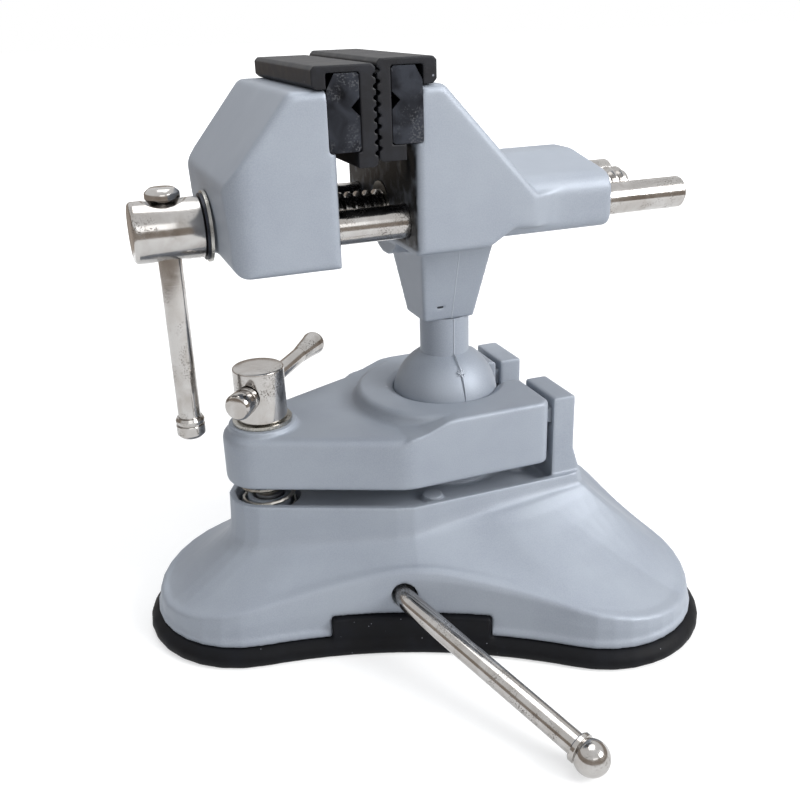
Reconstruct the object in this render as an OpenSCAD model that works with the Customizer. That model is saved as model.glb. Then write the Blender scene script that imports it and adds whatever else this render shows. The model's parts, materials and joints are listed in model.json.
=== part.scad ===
// Bench vise on a suction base: a three-lobed casting clamps the ball of the
// vise head between its socket and a bolted plate, and a cam lever lifts the
// middle of the rubber pad. X runs along the vise screw, Z up, and the origin
// lies on the bench under the front face of the fixed jaw.

/* [Vise head] */
// Width of the jaws
jaw_w = 65; // [60:1:75]
// Height of the screw and guide rod axes above the bench
axis_h = 135.2; // [133:0.5:145]
// Height of the jaw castings' top above the screw axis
jaw_rise = 38.9; // [37:0.5:44]
// Depth of the jaw castings below the screw axis
jaw_drop = 8.8; // [8.6:0.2:11]
// Thickness of the fixed jaw at its foot
fixed_foot = 23.2; // [20:0.5:26]
// Length of the flat top of the fixed jaw
fixed_top = 9; // [7:0.5:12]
// Distance from the jaw's front face to the end of its tail
tail_end = 66; // [62:1:80]
// Width of the tail
tail_w = 60; // [57:1:62]
// Height of the tail's ridge above the screw axis
tail_ridge = 14.5; // [12.5:0.5:18]
// Distance between the castings' front faces with the jaws closed
throat = 22.8; // [22:0.2:27]
// Thickness of the moving jaw at its foot
moving_foot = 31.7; // [28:0.5:38]
// Furthest opening of the jaws
jaw_travel = 55; // [40:1:58]

/* [Screw and rods] */
// Diameter of the guide rods
rod_d = 10; // [8:0.5:11]
// Distance between the guide rod axes
rod_spacing = 43.2; // [40:0.4:46]
// Length of a guide rod past the tail
rod_end = 30.4; // [20:0.4:40]
// Depth of a guide rod in the moving jaw
rod_seat = 22; // [16:1:27]
// Diameter of the vise screw over its thread
screw_d = 12; // [10:0.5:14]
// Thread left behind the nut with the jaws wide open
thread_spare = 18; // [8:1:22]
// Diameter of the vise screw's head
head_d = 18; // [17:0.5:22]
// Length of the vise screw's head
head_l = 20.5; // [18:0.5:26]
// Diameter of the vise screw's handle bar
bar_d = 7; // [6:0.25:8]
// Length of the handle bar between its knobs
bar_l = 74.5; // [60:0.5:77]
// Diameter of the handle bar's lower knob
bar_knob_d = 9; // [8.5:0.25:12]

/* [Jaw plates and pads] */
// Thickness of a jaw plate
plate_t = 9; // [7:0.5:10]
// Height of a jaw plate
plate_h = 20.4; // [18:0.2:23]
// Depth of the ledge that a jaw plate stands in
ledge = 2.2; // [1.5:0.1:3]
// Height of the ledge below the top of the casting
ledge_h = 15.2; // [12:0.2:18]
// Depth of the groove for round work in a jaw plate
vee = 2.4; // [1:0.2:3]
// Thickness of a rubber pad over the plate's edge
pad_skin = 2.1; // [1.6:0.1:2.6]
// Spacing of the ribs on a pad's gripping face
pad_pitch = 2.9; // [2.4:0.1:4]
// Depth of the grooves between the ribs
pad_groove = 0.9; // [0.5:0.1:1.4]

/* [Ball joint] */
// Diameter of the ball
ball_d = 36; // [32:0.5:37]
// Height of the ball's centre above the bench
ball_h = 69; // [68:0.5:71]
// Distance of the ball joint behind the fixed jaw's front face
ball_x = 21.4; // [19:0.2:23]
// Diameter of the post above the ball
post_d = 16.6; // [14:0.2:17.4]
// Length of the post from the ball's centre
post_l = 29; // [27:0.5:31]
// Running gap round the ball
ball_gap = 0.05; // [0.02:0.01:0.1]
// Width of the neck at its foot
neck_w = 15.6; // [15:0.2:17]
// Length of the neck at its foot
neck_l = 17.9; // [17:0.2:19]
// Width of the neck under the fixed jaw
neck_top_w = 34; // [28:0.5:40]
// Length of the neck under the fixed jaw
neck_top_l = 26; // [22:0.5:28]

/* [Clamp] */
// Distance of the clamp screw in front of the fixed jaw's face
clamp_x = 43.5; // [42:0.5:46]
// Diameter of the clamp screw's shank
clamp_d = 10; // [8:0.5:10.5]
// Diameter of the clamp screw's head
clamp_head_d = 16.5; // [15:0.5:18]
// Height of the clamp screw's head
clamp_head_h = 17.5; // [15:0.5:20]
// Half width of the clamp plate
clamp_w = 32.2; // [31:0.2:34]
// Radius of the clamp plate's narrow end
clamp_end_r = 13.3; // [12.5:0.1:15]
// Thickness of the clamp plate
clamp_t = 17.6; // [15:0.2:18]
// Height of the raised land round the ball
land = 4.6; // [3.4:0.2:5.4]
// Diameter of the clamp bar
clamp_bar_d = 5.5; // [5:0.25:6.5]
// Distance between the middles of the clamp bar's knobs
clamp_bar_l = 57; // [50:1:60]
// Diameter of the clamp bar's knobs
clamp_knob_d = 8.6; // [7.5:0.2:9.4]

/* [Base] */
// Distance from the origin to the middle of the front lobe
lobe_front = 52.5; // [50:0.5:56]
// Distance from the origin to the middles of the rear lobes
lobe_rear = 55.6; // [53:0.2:60]
// Half the distance between the rear lobes
lobe_side = 46.9; // [45:0.1:50]
// Radius of a lobe of the rubber pad
lobe_r = 35.1; // [34:0.1:38]
// Depth of the hollow curve between two lobes
hollow = 8.5; // [6:0.5:10]
// Thickness of the rubber pad
pad_t = 6; // [4:0.5:7]
// Margin of rubber outside the casting
pad_margin = 4; // [3:0.2:6]
// Height of the casting's rim above the bench
deck_h = 44.7; // [43:0.2:46]
// Thickness of the rim round the deck
rim_t = 2.4; // [2:0.2:4]
// Depth of the deck below its rim
rim_h = 2.3; // [1.5:0.1:3]
// Thickness of the deck
deck_t = 6; // [5:0.5:8]
// Height of the hinge uprights above the bench
upright_h = 72.8; // [71:0.2:76]
// Thickness of a hinge upright
upright_t = 8; // [6:0.5:10]
// Gap between the two uprights
upright_gap = 19; // [18.4:0.2:22]

/* [Suction lever] */
// Diameter of the lever's rod
lever_d = 6.8; // [6:0.1:7.6]
// Length of the lever from its bend to its ball
lever_l = 76; // [60:1:90]
// Diameter of the lever's ball
lever_ball_d = 10.4; // [9:0.2:12]
// Height of the lever's shaft above the bench
lever_h = 19.8; // [19:0.2:21]
// Angle of the bend in the lever
lever_bend = 45.4; // [40:0.2:48]
// Throw of the lever's eccentric
cam_throw = 1.5; // [1:0.1:1.7]

/* [Hidden] */
$fn = 64;

// running, seating and drafting gaps
run = 0.05;
seat = 0.3;
touch = 0.15;
// heights and places that follow from the driving sizes
jaw_top = axis_h + jaw_rise;
jaw_foot = axis_h - jaw_drop;
ledge_z = jaw_top - ledge_h;
moving_back = -throat - moving_foot;
nut_l = 16;
screw_end = nut_l + thread_spare + jaw_travel - tail_end;
seam = -throat / 2 + 0.3;
plate_top = ball_h - 0.5;
plate_foot = plate_top - clamp_t;
land_top = plate_top + land;
deck_z = deck_h - rim_h;
hinge_x = ball_x + 27.6;
hinge_z = ball_h - 3;
nose_r = 3;
upright_x = hinge_x - 1.1;
screw_back = moving_back - 1.8;
handle_x = screw_back - head_l / 2;
socket_r = ball_d / 2 + ball_gap;
cup_top = ball_h - ball_d / 4;
cup_r = ball_d / 2 + 1.2;
mouth_r = cup_r + 0.9;
washer_t = 1.2;
boss_top = plate_top + 1.8;
clamp_head_z = boss_top + washer_t;
clamp_bar_z = clamp_head_z + 2 + clamp_head_h * 0.44;
clamp_bar_turn = 51.8;
shaft_d = lever_d + 1.2;
cam_r = shaft_d / 2 + cam_throw;

// the side of the base that the lever comes out of
side_a = [-lobe_front, 0];
side_b = [lobe_rear, -lobe_side];
side_len = norm(side_b - side_a);
side_dir = (side_b - side_a) / side_len;
side_out = [side_dir[1], -side_dir[0]];
side_turn = atan2(side_out[1], side_out[0]);
// the shaft crosses the middle plane here
lift_x = 6.9;
// from there to the bend in the lever, and the dip of the lever below the level
lever_out = 47.5;
lever_roll = 15.2;
// radius of the bend, along the middle of the rod
bend_r = 9;
bend_reach = bend_r * tan(lever_bend / 2);

// ---- outlines ----
function arc(c, r, a0, a1, n) = [for (i = [0:n]) let (a = a0 + (a1 - a0) * i / n) c + r * [cos(a), sin(a)]];
function wrap(i, n) = (i + n) % n;
function unit(v) = v / max(norm(v), 1e-9);
function turn_left(v) = [-v[1], v[0]];
// moves each point of a counter-clockwise outline inwards by d
function inset(p, d) = let (n = len(p)) [for (i = [0:n - 1])
    let (a = unit(p[i] - p[wrap(i - 1, n)]), b = unit(p[wrap(i + 1, n)] - p[i]), m = unit(turn_left(a + b)))
    p[i] + m * d / max(m * turn_left(a), 0.5)];
// rounds each corner [x, y, r] of a counter-clockwise outline, with n steps a corner
function rounded(c, n = 5) = let (k = len(c)) [for (i = [0:k - 1])
    let (p = [c[i][0], c[i][1]], r = c[i][2],
         a = unit([c[wrap(i - 1, k)][0], c[wrap(i - 1, k)][1]] - p),
         b = unit([c[wrap(i + 1, k)][0], c[wrap(i + 1, k)][1]] - p),
         half = acos(max(-1, min(1, a * b))) / 2,
         reach = r / tan(half), centre = p + unit(a + b) * r / sin(half),
         from = p + a * reach - centre, to = p + b * reach - centre,
         sweep = (180 - 2 * half) * (cross(from, to) > 0 ? 1 : -1),
         start = atan2(from[1], from[0]))
    each r <= 0.01 ? [p] : arc(centre, r, start, start + sweep, n)];

// three lobes of radius r with hollow sides between them
function lobed(r, n = 14) = let (
    c = [[-lobe_front, 0], [lobe_rear, -lobe_side], [lobe_rear, lobe_side]],
    s = [for (i = [0:2]) norm(c[(i + 1) % 3] - c[i])],
    sag = [hollow, hollow * 0.8, hollow],
    q = [for (i = [0:2]) (pow(s[i] / 2, 2) / sag[i] + sag[i]) / 2 - r],
    m = [for (i = [0:2]) (c[i] + c[(i + 1) % 3]) / 2
         - turn_left(unit(c[(i + 1) % 3] - c[i])) * (q[i] + r - sag[i])],
    e = [for (i = [0:2]) let (j = (i + 2) % 3,
         u = m[j] - c[i], v = m[i] - c[i], a0 = atan2(u[1], u[0]), a1 = atan2(v[1], v[0]))
         [a0, a1 < a0 ? a1 + 360 : a1]])
    [for (i = [0:2]) each concat(
        arc(c[i], r, e[i][0], e[i][1], n),
        let (u = c[i] - m[i], v = c[(i + 1) % 3] - m[i], a0 = atan2(u[1], u[0]), a1 = atan2(v[1], v[0]),
             a2 = a1 > a0 ? a1 - 360 : a1, full = arc(m[i], q[i], a0, a2, n)) [for (k = [1:n - 1]) full[k]])];

// the clamp plate's outline, which the rim of the deck follows
function tongue(front_r, half_w, back) = rounded([[-clamp_x - front_r, front_r * 0.62, front_r * 0.9],
    [-clamp_x - front_r, -front_r * 0.62, front_r * 0.9], [-5, -half_w, 16], [back, -half_w, 4],
    [back, half_w, 4], [-5, half_w, 16]], 6);

// how far the outline p reaches from c in the direction u
function reach(p, c, u) = let (n = len(p)) min([for (i = [0:n - 1])
    let (e = p[wrap(i + 1, n)] - p[i], out = [e[1], -e[0]], f = out * u)
    if (f > 1e-6) (out * (p[i] - c)) / f]);

// the mean of the points p
function total(p, i = 0) = i == len(p) - 1 ? p[i] : p[i] + total(p, i + 1);
function middle(p) = total(p) / len(p);

// ---- solids ----
// a closed skin over rings of equally many points
module skin(rings) {
    n = len(rings[0]);
    k = len(rings);
    ends = [for (r = [rings[0], rings[k - 1]]) middle(r)];
    polyhedron(points = concat([for (r = rings) each r], ends),
        faces = concat([for (i = [0:n - 1]) [n * k, i, (i + 1) % n]],
            [for (j = [0:k - 2], i = [0:n - 1]) each [
                [j * n + i, (j + 1) * n + i, (j + 1) * n + (i + 1) % n],
                [j * n + i, (j + 1) * n + (i + 1) % n, j * n + (i + 1) % n]]],
            [for (i = [0:n - 1]) [n * k + 1, (k - 1) * n + (i + 1) % n, (k - 1) * n + i]]));
}

// an upright slab of the outline p from z0 to z1 with its edges rounded
module soft_slab(p, z0, z1, r0, r1) {
    lo = r0 > 0 ? [for (a = [0, 30, 60, 90]) [z0 + r0 * (1 - cos(a)), r0 * (1 - sin(a))]] : [[z0, 0]];
    hi = r1 > 0 ? [for (a = [90, 60, 30, 0]) [z1 - r1 * (1 - cos(a)), r1 * (1 - sin(a))]] : [[z1, 0]];
    skin([for (s = concat(lo, hi)) let (q = s[1] > 0 ? inset(p, s[1]) : p) [for (v = q) [v[0], v[1], s[0]]]]);
}

// the same slab with the outline in X and Z, lying across Y about the middle plane
module soft_across(p, w, r) {
    rotate([90, 0, 0]) soft_slab(p, -w / 2, w / 2, r, r);
}

// a round bar along X
module bar_x(x0, x1, d) {
    translate([x0, 0, 0]) rotate([0, 90, 0]) cylinder(d = d, h = x1 - x0);
}

// a revolved profile of [radius, height] points
module turned(p) {
    rotate_extrude() polygon(p);
}

// places a child at the lever shaft's axis, with local Z pointing out of the base
module at_lever() {
    translate([lift_x, 0, lever_h]) rotate([0, 0, side_turn]) rotate([0, 90, 0]) children();
}

// ---- base ----
cast_r = lobe_r - pad_margin;
lobes = [[-lobe_front, 0], [lobe_rear, -lobe_side], [lobe_rear, lobe_side]];
crease_low = 13;
crease_high = 30;
foot_front = 29;
foot_rear = deck_h - 5;
bead = 0.8;
function mix(a, b, t) = a + (b - a) * t;
// 1 at the middle of a side, falling to 0 at the tips of its two lobes
function side_share(v) = max([for (i = [0:2]) let (a = lobes[i], b = lobes[(i + 1) % 3], u = unit(b - a),
    c = (a + b) / 2, half = norm(b - a) / 2, far = norm([(v - c) * u / half, 0.14]) / 1.5)
    (v - c) * turn_left(u) > 0 || far > 1 ? 0 : pow(1 - far, 1.1)]);
// height of the foot of the deck's wall
function foot_z(x) = let (tip = clamp_x + clamp_end_r)
    mix(foot_front, foot_rear, max(0, min(1, (x + tip) / (upright_x + tip))));
deck_outline = tongue(clamp_end_r, clamp_w, upright_x + 11);
base_mid = [6, 0];

function base_ring(z, shrink, rise, t) = let (p = inset(lobed(cast_r), shrink)) [for (v = p)
    let (u = unit(v - base_mid), far = norm(v - base_mid), near = reach(deck_outline, base_mid, u),
         r = mix(far, near, t), top = mix(crease_low, crease_high, side_share(v)))
    [base_mid[0] + u[0] * r, base_mid[1] + u[1] * r, z + rise * (top - z)]];

// a ring at the share s of the way in, and at the share up of the deck's wall
function slope_ring(s, up) = let (wall = base_ring(0, 2.4, 1, 1), crease = base_ring(0, 2.4, 1, s))
    [for (i = [0:len(wall) - 1]) let (foot = foot_z(wall[i][0]), v = crease[i])
        [v[0], v[1], mix(mix(v[2], foot, min(1, pow(s / 0.92, 1.2))), deck_h, up)]];

module base_body() {
    flange = pad_t + 2.7;
    skin([base_ring(pad_t, 0.3 - bead, 0, 0), base_ring(pad_t + 0.5, -bead, 0, 0),
        base_ring(flange - 0.4, -bead, 0, 0), base_ring(flange, 0, 0, 0), base_ring(flange, 0, 0.45, 0),
        base_ring(flange, 0.5, 0.86, 0), base_ring(flange, 1.2, 0.97, 0.01),
        base_ring(flange, 2.4, 1.03, 0.04),
        each [for (s = [0.16, 0.34, 0.52, 0.7, 0.84]) slope_ring(s, 0)], slope_ring(0.92, 0.04),
        slope_ring(0.96, 0.16), slope_ring(0.985, 0.42), slope_ring(1, 0.9), slope_ring(1, 1)]);
}

module upright(side) {
    w = clamp_w - 2.3 - upright_gap / 2;
    translate([0, side > 0 ? upright_gap / 2 + w : -upright_gap / 2, 0]) rotate([90, 0, 0])
        linear_extrude(w) polygon(rounded([[upright_x, deck_z - 1, 0],
            [upright_x + upright_t + 4, deck_z - 1, 0], [upright_x + upright_t, deck_h + 9, 12],
            [upright_x + upright_t, upright_h, 0.8], [upright_x, upright_h, 0.8]], 4));
}

module base_casting() {
    color("lightsteelblue") difference() {
        union() {
            difference() {
                base_body();
                // the sunk deck inside its rim
                translate([0, 0, deck_z]) linear_extrude(rim_h + 1)
                    polygon(tongue(clamp_end_r - rim_t, clamp_w - rim_t, upright_x + 11 - rim_t));
                // the hollow under the deck
                translate([0, 0, pad_t - 1]) linear_extrude(deck_z - deck_t - pad_t + 1)
                    polygon(tongue(clamp_end_r - 4, clamp_w - 4, upright_x + 7));
                translate([0, 0, pad_t - 1]) linear_extrude(4) polygon(inset(lobed(cast_r), 6));
            }
            // the socket that carries the ball
            translate([ball_x, 0, deck_z - 1]) cylinder(r = cup_r, h = cup_top - deck_z + 1);
            upright(1);
            upright(-1);
            // the cup of the well under the clamp plate's narrow end
            translate([-clamp_x, 0, well_z - 4]) cylinder(r = well_r + 2.5, h = deck_z - well_z + 4);
            // the tube for the clamp screw, in its well
            translate([-clamp_x, 0, pad_t + 8]) cylinder(d = clamp_d + 4.5, h = deck_h - pad_t - 9);
            // the inner bearing of the lever shaft
            at_lever() translate([-(deck_z - deck_t - lever_h) - 1, -bearing_w / 2, -shaft_in - 1])
                cube([deck_z - deck_t - lever_h + 8, bearing_w, 9]);
            // small round pads on the deck
            for (v = deck_pads, s = [-1, 1]) translate([v[0], s * v[1], deck_z - 0.5])
                cylinder(r = 3.4, h = 2.4);
        }
        translate([ball_x, 0, ball_h]) sphere(r = socket_r, $fn = 96);
        // the ring-shaped well round the tube
        translate([-clamp_x, 0, well_z]) difference() {
            cylinder(r = well_r, h = deck_h - well_z + 1);
            translate([0, 0, -1]) cylinder(d = clamp_d + 4.5, h = deck_h - well_z);
        }
        translate([-clamp_x, 0, pad_t - 1]) cylinder(d = clamp_d + 0.8, h = deck_h);
        // the pocket that keeps the nut from turning
        translate([-clamp_x, 0, pad_t - 1])
            cylinder(d = nut_across / cos(30) + 2 * run, h = nut_h + 1 + touch, $fn = 6);
        // the blind grooves that the clamp plate's noses turn in
        for (s = [-1, 1]) translate([hinge_x, s * nose_y + groove_w / 2, hinge_z]) {
            rotate([90, 0, 0]) cylinder(r = nose_r + run, h = groove_w);
            translate([-nose_r - 2, -groove_w, 0.4 - nose_r]) cube([nose_r + 2, groove_w, 2 * nose_r - 0.8]);
        }
        // the bore of the lever shaft
        at_lever() translate([0, 0, -shaft_in - 2])
            cylinder(d = shaft_d + 2 * run, h = 2 * shaft_in + lobe_r);
        // the window that the pad's grip tab fills
        tab_block(0.2);
    }
}

deck_pads = [[6, 24.5], [41, 15.5]];
nut_across = 1.6 * clamp_d;
nut_h = 8;
nose_y = upright_gap / 2 + 10.2;
nose_w = 16;
groove_w = nose_w + 1;
bearing_w = 22;
well_z = pad_t + 18;
well_r = clamp_end_r - rim_t - 0.4;

// the grip tab's block across the lever side of the base
tab_from = 31;
tab_l = 51;
tab_h = 7;
module tab_block(gap) {
    rotate([0, 0, atan2(side_dir[1], side_dir[0])])
        translate([side_a * side_dir + tab_from - gap, -lobe_side - lobe_r, pad_t - 1])
            cube([tab_l + 2 * gap, lobe_side + 8 + gap, tab_h + 1 + gap]);
}

// ---- suction ----
module suction_pad() {
    color("#22242e") {
        p = lobed(lobe_r);
        difference() {
            union() {
                skin([for (s = [[0, 0.8], [0.15, 0], [0.53, 0], [0.77, 1.1],
                    [0.9, pad_margin - 1.6], [1, pad_margin - 1.2]])
                    [for (v = inset(p, s[1])) [v[0], v[1], s[0] * pad_t]]]);
                translate([lift_x, 0, pad_t - 0.5]) cylinder(r = lift_r + 1, h = 3.5);
                intersection() {
                    tab_block(0);
                    linear_extrude(2 * pad_t + tab_h) polygon(inset(lobed(lobe_r), pad_margin / 2));
                }
            }
            tab_inner();
        }
    }
}

// the tab is a strip, so the block behind it stays clear of the casting's hollow
module tab_inner() {
    translate([0, 0, pad_t]) linear_extrude(2 * tab_h) polygon(inset(lobed(cast_r), 7));
}

lift_r = 14;
lift_t = 2;
module pad_lift_plate() {
    color("silver") translate([lift_x, 0, pad_t + 3]) cylinder(r = lift_r, h = lift_t);
}

yoke_z = pad_t + 3 + lift_t;
yoke_t = 10;
yoke_wall = 3.2;
module pad_lift_yoke() {
    w = cam_r + cam_throw + seat;
    crown = lever_h + cam_r - cam_throw + 0.5;
    color("silver") translate([lift_x, 0, 0]) rotate([0, 0, side_turn]) difference() {
        translate([-yoke_t / 2, -w - yoke_wall, yoke_z])
            cube([yoke_t, 2 * (w + yoke_wall), crown + yoke_wall + 1 - yoke_z]);
        translate([-yoke_t / 2 - 1, -w, yoke_z + 0.8]) cube([yoke_t + 2, 2 * w, crown - yoke_z - 0.8]);
    }
}

shaft_in = 32;
module suction_lever() {
    bend_z = lever_out - bend_reach;
    color("silver") at_lever() {
        translate([0, 0, -shaft_in]) cylinder(d = shaft_d, h = shaft_in + bend_z - 1.6);
        translate([0, 0, bend_z - 1.6]) cylinder(d1 = shaft_d, d2 = lever_d, h = 1.2);
        translate([0, 0, bend_z - 0.5]) cylinder(d = lever_d, h = 0.8);
        rotate([0, 0, 90 - lever_roll]) translate([bend_r, 0, bend_z]) rotate([90, 0, 0])
            rotate([0, 0, 180 - lever_bend]) rotate_extrude(angle = lever_bend)
                translate([bend_r, 0]) circle(d = lever_d);
        translate([0, 0, lever_out]) lever_frame() translate([0, 0, bend_reach - 0.3])
            cylinder(d = lever_d, h = lever_l - bend_reach - lever_ball_d / 2 + 1.3);
    }
}

// turns local Z from the shaft's axis to the lever's own
module lever_frame() {
    rotate([0, 0, 90 - lever_roll]) rotate([0, lever_bend, 0]) children();
}

module lever_cam() {
    color("dimgray") at_lever() translate([0, 0, -4.5]) difference() {
        translate([cam_throw, 0, 0]) cylinder(r = cam_r + 0.02, h = 9);
        translate([0, 0, -1]) cylinder(d = shaft_d, h = 11);
    }
}

module lever_ball() {
    color("silver") at_lever() translate([0, 0, lever_out]) lever_frame() translate([0, 0, lever_l]) {
        b = lever_ball_d;
        difference() {
            turned([[0, -b / 2], [lever_d / 2 + 0.4, -b / 2], [lever_d / 2 + 1.2, -b / 2 + 0.5],
                [lever_d / 2 + 1.2, -b / 2 + 1.8],
                for (a = [-28:14:90]) [b / 2 * cos(a), b / 2 * sin(a)], [0, b / 2]]);
            translate([0, 0, -b]) cylinder(d = lever_d, h = b / 2 + 1);
        }
    }
}

module lever_clip() {
    color("dimgray") at_lever() translate([0, 0, -6.3]) difference() {
        cylinder(r = shaft_d / 2 + 1.3, h = 1);
        translate([0, 0, -1]) cylinder(d = shaft_d, h = 3);
    }
}

// ---- clamp ----
module clamp_nut() {
    color("silver") translate([-clamp_x, 0, pad_t]) difference() {
        cylinder(d = nut_across / cos(30), h = nut_h, $fn = 6);
        translate([0, 0, -1]) cylinder(d = clamp_d + 2 * run, h = nut_h + 2);
    }
}

spring_wire = 1.4;
spring_turns = 5;
module clamp_spring() {
    z0 = well_z + spring_wire / 2 + 0.1;
    z1 = plate_foot - spring_wire / 2 - 0.2;
    r = (clamp_d + 4.5) / 2 + spring_wire / 2 + 0.7;
    steps = 18 * spring_turns;
    color("gray") translate([-clamp_x, 0, 0]) skin([for (i = [0:steps])
        let (a = 360 * spring_turns * i / steps, c = [r * cos(a), r * sin(a), mix(z0, z1, i / steps)])
        [for (k = [0:5]) let (b = 60 * k) c + spring_wire / 2 * [cos(b) * cos(a), cos(b) * sin(a), sin(b)]]]);
}

land_r = clamp_w - 1.2;
module clamp_plate() {
    outline = tongue(clamp_end_r, clamp_w, upright_x - 2);
    color("lightsteelblue") difference() {
        union() {
            soft_slab(outline, plate_foot, plate_top, 1.2, 3);
            // the land: a round step about the ball, and a band that reaches the sides
            intersection() {
                union() {
                    translate([ball_x, 0, plate_top - 3]) turned([[0, 0], [land_r + 2, 0], [land_r + 1.4, 3],
                        for (a = [0:15:90]) [land_r - 2.4 + 2.4 * cos(a), land + 0.6 + 2.4 * sin(a)],
                        [0, land + 3]]);
                    translate([0, clamp_w, plate_top]) rotate([90, 0, 0]) linear_extrude(2 * clamp_w)
                        polygon([[-9, -3], [upright_x, -3], [upright_x, land], [ball_x - 9, land],
                            [ball_x - 12.5, land - 0.5], [ball_x - 20, 1.2], [ball_x - 25, 0.2]]);
                }
                soft_slab(outline, plate_foot, land_top, 0, 1.4);
            }
            translate([-clamp_x, 0, plate_top - 1]) cylinder(r = boss_r, h = boss_top - plate_top + 1);
            // the noses behind the two arms
            for (s = [-1, 1]) translate([hinge_x, s * nose_y + nose_w / 2, hinge_z]) {
                rotate([90, 0, 0]) cylinder(r = nose_r, h = nose_w);
                translate([-nose_r - 1, -nose_w, 1 - nose_r]) cube([nose_r + 1, nose_w, 2 * nose_r - 2]);
            }
        }
        // the mouth over the socket, the ball's room and its lip
        translate([ball_x, 0, plate_foot - 1]) cylinder(r = mouth_r, h = cup_top + 1 - plate_foot + 1);
        translate([ball_x, 0, plate_foot]) cylinder(r = ball_d / 2 + 0.45, h = ball_h + lip_low - plate_foot);
        translate([ball_x, 0, ball_h]) intersection() {
            sphere(r = socket_r, $fn = 96);
            translate([0, 0, lip_low - 0.1]) cylinder(r = ball_d, h = 10);
        }
        translate([ball_x, 0, land_top - lip_h])
            cylinder(r1 = lip_r, r2 = lip_r + 2 * lip_h, h = lip_h + 0.1);
        // the slot that the post drops into
        translate([ball_x, 0.2 - upright_gap / 2, plate_foot - 1])
            cube([hinge_x, upright_gap - 0.4, clamp_t + land + 2]);
        translate([-clamp_x, 0, plate_foot - 1]) cylinder(d = clamp_d + 1.2, h = clamp_t + 10);
    }
}
// the ball's seat in the plate lies between these two heights
lip_low = 1.2;
lip_h = 1.4;
lip_r = sqrt(pow(socket_r, 2) - pow(land_top - lip_h - ball_h, 2));
boss_r = clamp_head_d / 2 + 2.9;

module clamp_washer() {
    color("silver") translate([-clamp_x, 0, boss_top]) difference() {
        cylinder(r = boss_r - 1.5, h = washer_t);
        translate([0, 0, -1]) cylinder(d = clamp_d + 2 * run, h = washer_t + 2);
    }
}

module clamp_frame() {
    translate([-clamp_x, 0, clamp_bar_z]) rotate([0, 0, clamp_bar_turn]) children();
}

module clamp_screw() {
    r = clamp_head_d / 2;
    color("silver") difference() {
        union() {
            translate([-clamp_x, 0, clamp_head_z]) turned([[0, 0], [r - 0.5, 0], [r, 0.5],
                [r, clamp_head_h - 1], [r - 1, clamp_head_h], [0, clamp_head_h]]);
            translate([-clamp_x, 0, pad_t + 1]) cylinder(d = clamp_d, h = clamp_head_z - pad_t);
        }
        clamp_frame() bar_x(-clamp_head_d, clamp_head_d, clamp_bar_d + 2 * run);
        // the flared mouths of the cross hole
        for (s = [-1, 1]) clamp_frame() rotate([0, s * 90, 0]) translate([0, 0, r - 2])
            cylinder(r1 = clamp_bar_d / 2, r2 = clamp_bar_d / 2 + 2.2, h = 3.2);
    }
}

// the bar lies against its near knob
near_knob = clamp_head_d / 2 + clamp_knob_d / 2 + 0.2;
far_knob = clamp_bar_l - near_knob;
module clamp_bar() {
    color("silver") clamp_frame() bar_x(-near_knob, far_knob, clamp_bar_d);
}

// a cap with a collar ring behind it
module clamp_bar_knob_near() {
    r = clamp_knob_d / 2;
    color("silver") clamp_frame() translate([-near_knob, 0, 0]) rotate([0, -90, 0]) difference() {
        turned([[0, -r], [r - 0.7, -r], [r - 0.4, 0.3 - r], [r - 0.4, 1.6 - r], [r - 0.8, 1.8 - r],
            [r - 0.8, 2.2 - r], [r, 2.8 - r], [r, r - 1.2], [r - 0.4, r - 0.4], [r - 1.2, r], [0, r]]);
        translate([0, 0, -r - 1]) cylinder(d = clamp_bar_d, h = r + 1);
    }
}

// a long taper with a domed end
module clamp_bar_knob_far() {
    r = clamp_knob_d / 2;
    color("silver") clamp_frame() translate([far_knob, 0, 0]) rotate([0, 90, 0]) difference() {
        turned([[0, -taper_l], [clamp_bar_d / 2 + 0.3, -taper_l], [r - 0.3, 0],
            for (a = [0:15:90]) [(r - 0.1) * cos(a), 1 + (r - 1) * sin(a)]]);
        translate([0, 0, -taper_l - 1]) cylinder(d = clamp_bar_d, h = taper_l + 1);
    }
}
taper_l = 12;

// ---- ball joint ----
spigot_d = post_d - 7.6;
spigot_l = 12;
pin_l = neck_w + 2.2;
pin_d = 4;
pin_z = ball_h + post_l + 6;
pin_x = ball_x - spigot_d / 2 - 0.6;
module ball_stem() {
    color("lightsteelblue") translate([ball_x, 0, ball_h]) difference() {
        union() {
            sphere(d = ball_d, $fn = 96);
            cylinder(d = post_d, h = post_l);
            cylinder(d = spigot_d, h = post_l + spigot_l);
        }
        translate([0, 0, -ball_d / 2 - 1]) cylinder(r = 5, h = 2.2);
        // the groove that the head's pin runs in
        translate([0, 0, pin_z - ball_h]) rotate_extrude()
            translate([ball_x - pin_x, 0]) circle(d = pin_d + 4 * run, $fn = 32);
    }
}

// the pin lies across the head, beside the spigot
module pin_shape() {
    translate([pin_x, -pin_l / 2, pin_z]) rotate([-90, 0, 0]) cylinder(d = pin_d, h = pin_l, $fn = 32);
}

module stem_pin() {
    color("silver") pin_shape();
}

// ---- fixed jaw ----
// the neck is a pyramid upside down, cast with the jaw
module neck() {
    x = ball_x - 1.5;
    skin([for (s = [[neck_l, neck_w, ball_h + post_l], [neck_top_l, neck_top_w, jaw_foot + 2]])
        [for (v = rounded([[-s[0] / 2, -s[1] / 2, 0.8], [s[0] / 2, -s[1] / 2, 0.8],
            [s[0] / 2, s[1] / 2, 0.8], [-s[0] / 2, s[1] / 2, 0.8]], 3)) [x + v[0], v[1], s[2]]]]);
}

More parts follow.
